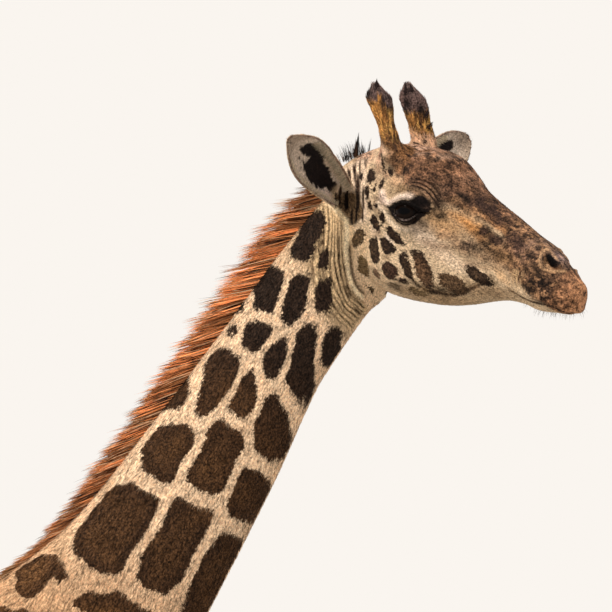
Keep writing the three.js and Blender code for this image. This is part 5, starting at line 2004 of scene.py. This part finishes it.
def eye(side):
    """A ball with a bulging front; the pupil is a lying oval."""
    name = SIDE_NAME[side]
    out, ahead, above = eye_frame()
    verts, faces = ball([0, 0, 0], np.ones(3), 96, 64)
    deep, f, r = verts[:, 2], verts[:, 0], verts[:, 1]
    off = np.degrees(np.arccos(np.clip(deep, -1, 1)))
    bulge = 1 + 0.035 * smooth(off, 46, 20)
    local = (out * deep[:, None] + ahead * f[:, None] + above * r[:, None]) * (0.0276 * bulge)[:, None]
    place = from_head((EYE_AT + local) * [1, side, 1])
    ob = new_object(f"eyeball_{name}", place, [face[::side] for face in faces])
    fix_normals(ob)
    iris = smooth(off, 52, 47)
    pupil = smooth(np.hypot(f / 0.47, r / 0.26), 1.06, 0.94) * (deep > 0)
    tint = over(srgb(18, 12, 10), srgb(26, 16, 11), iris)
    tint = layered(
        tint,
        ((14, 9, 8), smooth(off, 40, 47) * smooth(off, 56, 50)),
        ((6, 5, 6), pupil),
    )
    set_colours(ob.data, "tint", tint)
    smooth_shaded(ob)
    finish_piece(ob, "eye", eye_look, f"eye_{name}")


def hoof(where, side, toe):
    """One half of a hoof, cut off at the cleft, with faint rings round its horn."""
    table = {"fore": FORELEG, "hind": HINDLEG}[where]
    coronet = table[-1]
    front, back, width, y = coronet[0], coronet[2], coronet[4], coronet[7]
    ahead, behind, across = HOOF_FLARE
    stations = []
    for high, share in ((1, 0), (0.5, 0.55), (0, 1)):
        tip, heel, broad = front + ahead * share, back - behind * share, width + across * share
        stations.append(level((HOOF_HEIGHT - 0.4) * high, tip, heel, broad, y, 2.6))
    verts, faces = loft(stations, 48, 36)
    side_of = 1 if toe == "outer" else -1
    edge = (y + side_of * CLEFT / 2) * MM
    verts[:, 1] = np.maximum(verts[:, 1], edge) if side_of > 0 else np.minimum(verts[:, 1], edge)
    height = verts[:, 2] / (HOOF_HEIGHT * MM)
    middle = np.array([(front + back) / 2 * MM, y * MM])
    growth = 0.5 + 0.5 * np.sin(height * 46 + 2 * np.sin(height * 9))
    ring = 1 - 0.006 * growth * smooth(height, 0.0, 0.06)
    ring -= 0.05 * smooth(height, 0.03, 0.0) ** 2
    away = verts[:, :2] - middle
    flat = np.abs(verts[:, 1] - edge) < 1e-6
    verts[:, 0] = middle[0] + away[:, 0] * ring
    verts[:, 1] = np.where(flat, verts[:, 1], middle[1] + away[:, 1] * ring)
    name = SIDE_NAME[side]
    ob = new_object(f"toe_{where}_{name}_{toe}", in_body(verts * [1, side, 1]), [f[::side] for f in faces])
    fix_normals(ob)
    smooth_shaded(ob)
    bpy.context.view_layer.objects.active = ob
    ob.select_set(True)
    bpy.ops.object.shade_smooth_by_angle(angle=math.radians(40))
    ob.select_set(False)
    finish_piece(ob, "horn", horn_look, f"hoof_{where}_{name}_{toe}")


def whiskers():
    """Sparse bristles on chin and lips."""
    q = to_head(places)
    near = (q[:, 0] > 0.54) & (q[:, 2] < -0.118) & head_part
    roots, up_at = scatter_roots(places, normals, skin_tris, np.where(near, 0.0095, 0.0))
    count = len(roots)
    down = HEAD_TURN @ np.array([0.15, 0, -1.0])
    way = unit(up_at * 0.8 + down * 0.5 + rng.normal(0, 0.25, (count, 3)))
    length = rng.uniform(0.006, 0.016, count)
    paths = bent(roots, way, length, np.ones((count, 1)) * (down * 0.2), 2)
    tint = srgb(60, 46, 36) * rng.uniform(0.6, 1.6, count)[:, None]
    ob = strands("whiskers", roots, paths, np.full(count, 0.00045), tint, tint, head_map)
    finish_piece(ob, "mane", dark_look)


eye_look, horn_look = eye_material(), horn_material()
mane()
crown()
tail_tuft()
whiskers()
for sign in SIDES.values():
    lashes(sign)
    ear_hair(sign)
    ossicone(sign)
    eye(sign)
    for limb in ("fore", "hind"):
        for digit in ("outer", "inner"):
            hoof(limb, sign, digit)


# ---------------------------------------------------------------- floor, light and camera
def floor():
    """A wide disc under the feet."""
    bm = bmesh.new()
    bmesh.ops.create_circle(bm, cap_ends=True, segments=128, radius=16)
    mesh = bpy.data.meshes.new("floor")
    bm.to_mesh(mesh)
    bm.free()
    made, tree, shader = tree_of("floor_matt")
    place = add(tree, "ShaderNodeTexCoord").outputs["Object"]
    colour = mixed(tree, noise_of(tree, place, 3.0), (*srgb(178, 176, 172), 1), (*srgb(186, 184, 180), 1))
    tree.links.new(colour, shader.inputs["Base Color"])
    shader.inputs["Roughness"].default_value = 0.9
    mesh.materials.append(made)
    linked("floor", mesh)


def sun(name, strength, colour, place, spread):
    """A distant lamp that shines from a place towards the middle; its disc is spread degrees wide."""
    data = bpy.data.lights.new(name, "SUN")
    data.energy = strength
    data.color = colour
    data.angle = math.radians(spread)
    ob = linked(name, data)
    ob.location = place
    ob.rotation_euler = (-place).to_track_quat("-Z", "Y").to_euler()


def world():
    made = bpy.data.worlds.new("studio")
    bpy.context.scene.world = made
    made.use_nodes = True
    tree = made.node_tree
    background = tree.nodes["Background"]
    path = add(tree, "ShaderNodeLightPath")
    seen = reckoned(tree, "MAXIMUM", path.outputs["Is Camera Ray"], path.outputs["Is Transmission Ray"])
    colour = mixed(tree, seen, (1.0, 0.985, 0.965, 1), (*srgb(250, 245, 239), 1))
    tree.links.new(colour, background.inputs["Color"])
    tree.links.new(ranged(tree, seen, 0, 1, 0.76, 1.0), background.inputs["Strength"])


floor()
world()
sun("sky_window", 2.45, (1.0, 0.96, 0.90), Vector((-3.0, -6.0, 9.0)), 14)
sun("rim", 0.9, (1.0, 0.90, 0.76), Vector((-8.0, 3.0, 5.0)), 10)

SEEN_WIDTH, AWAY = 1.302, 20  # of the picture at the poll, and from there to the camera
camera = bpy.data.cameras.new("camera")
camera.sensor_width = 36
camera.lens = camera.sensor_width * AWAY / SEEN_WIDTH
camera.clip_end = 200
view = linked("camera", camera)
target = Vector(POLL + [-0.094, 0, -0.321])
view.location = Vector(POLL + [-0.094, -AWAY, -0.713])
view.rotation_euler = (target - view.location).to_track_quat("-Z", "Y").to_euler()
bpy.context.scene.camera = view
bpy.context.scene.view_settings.view_transform = "Standard"
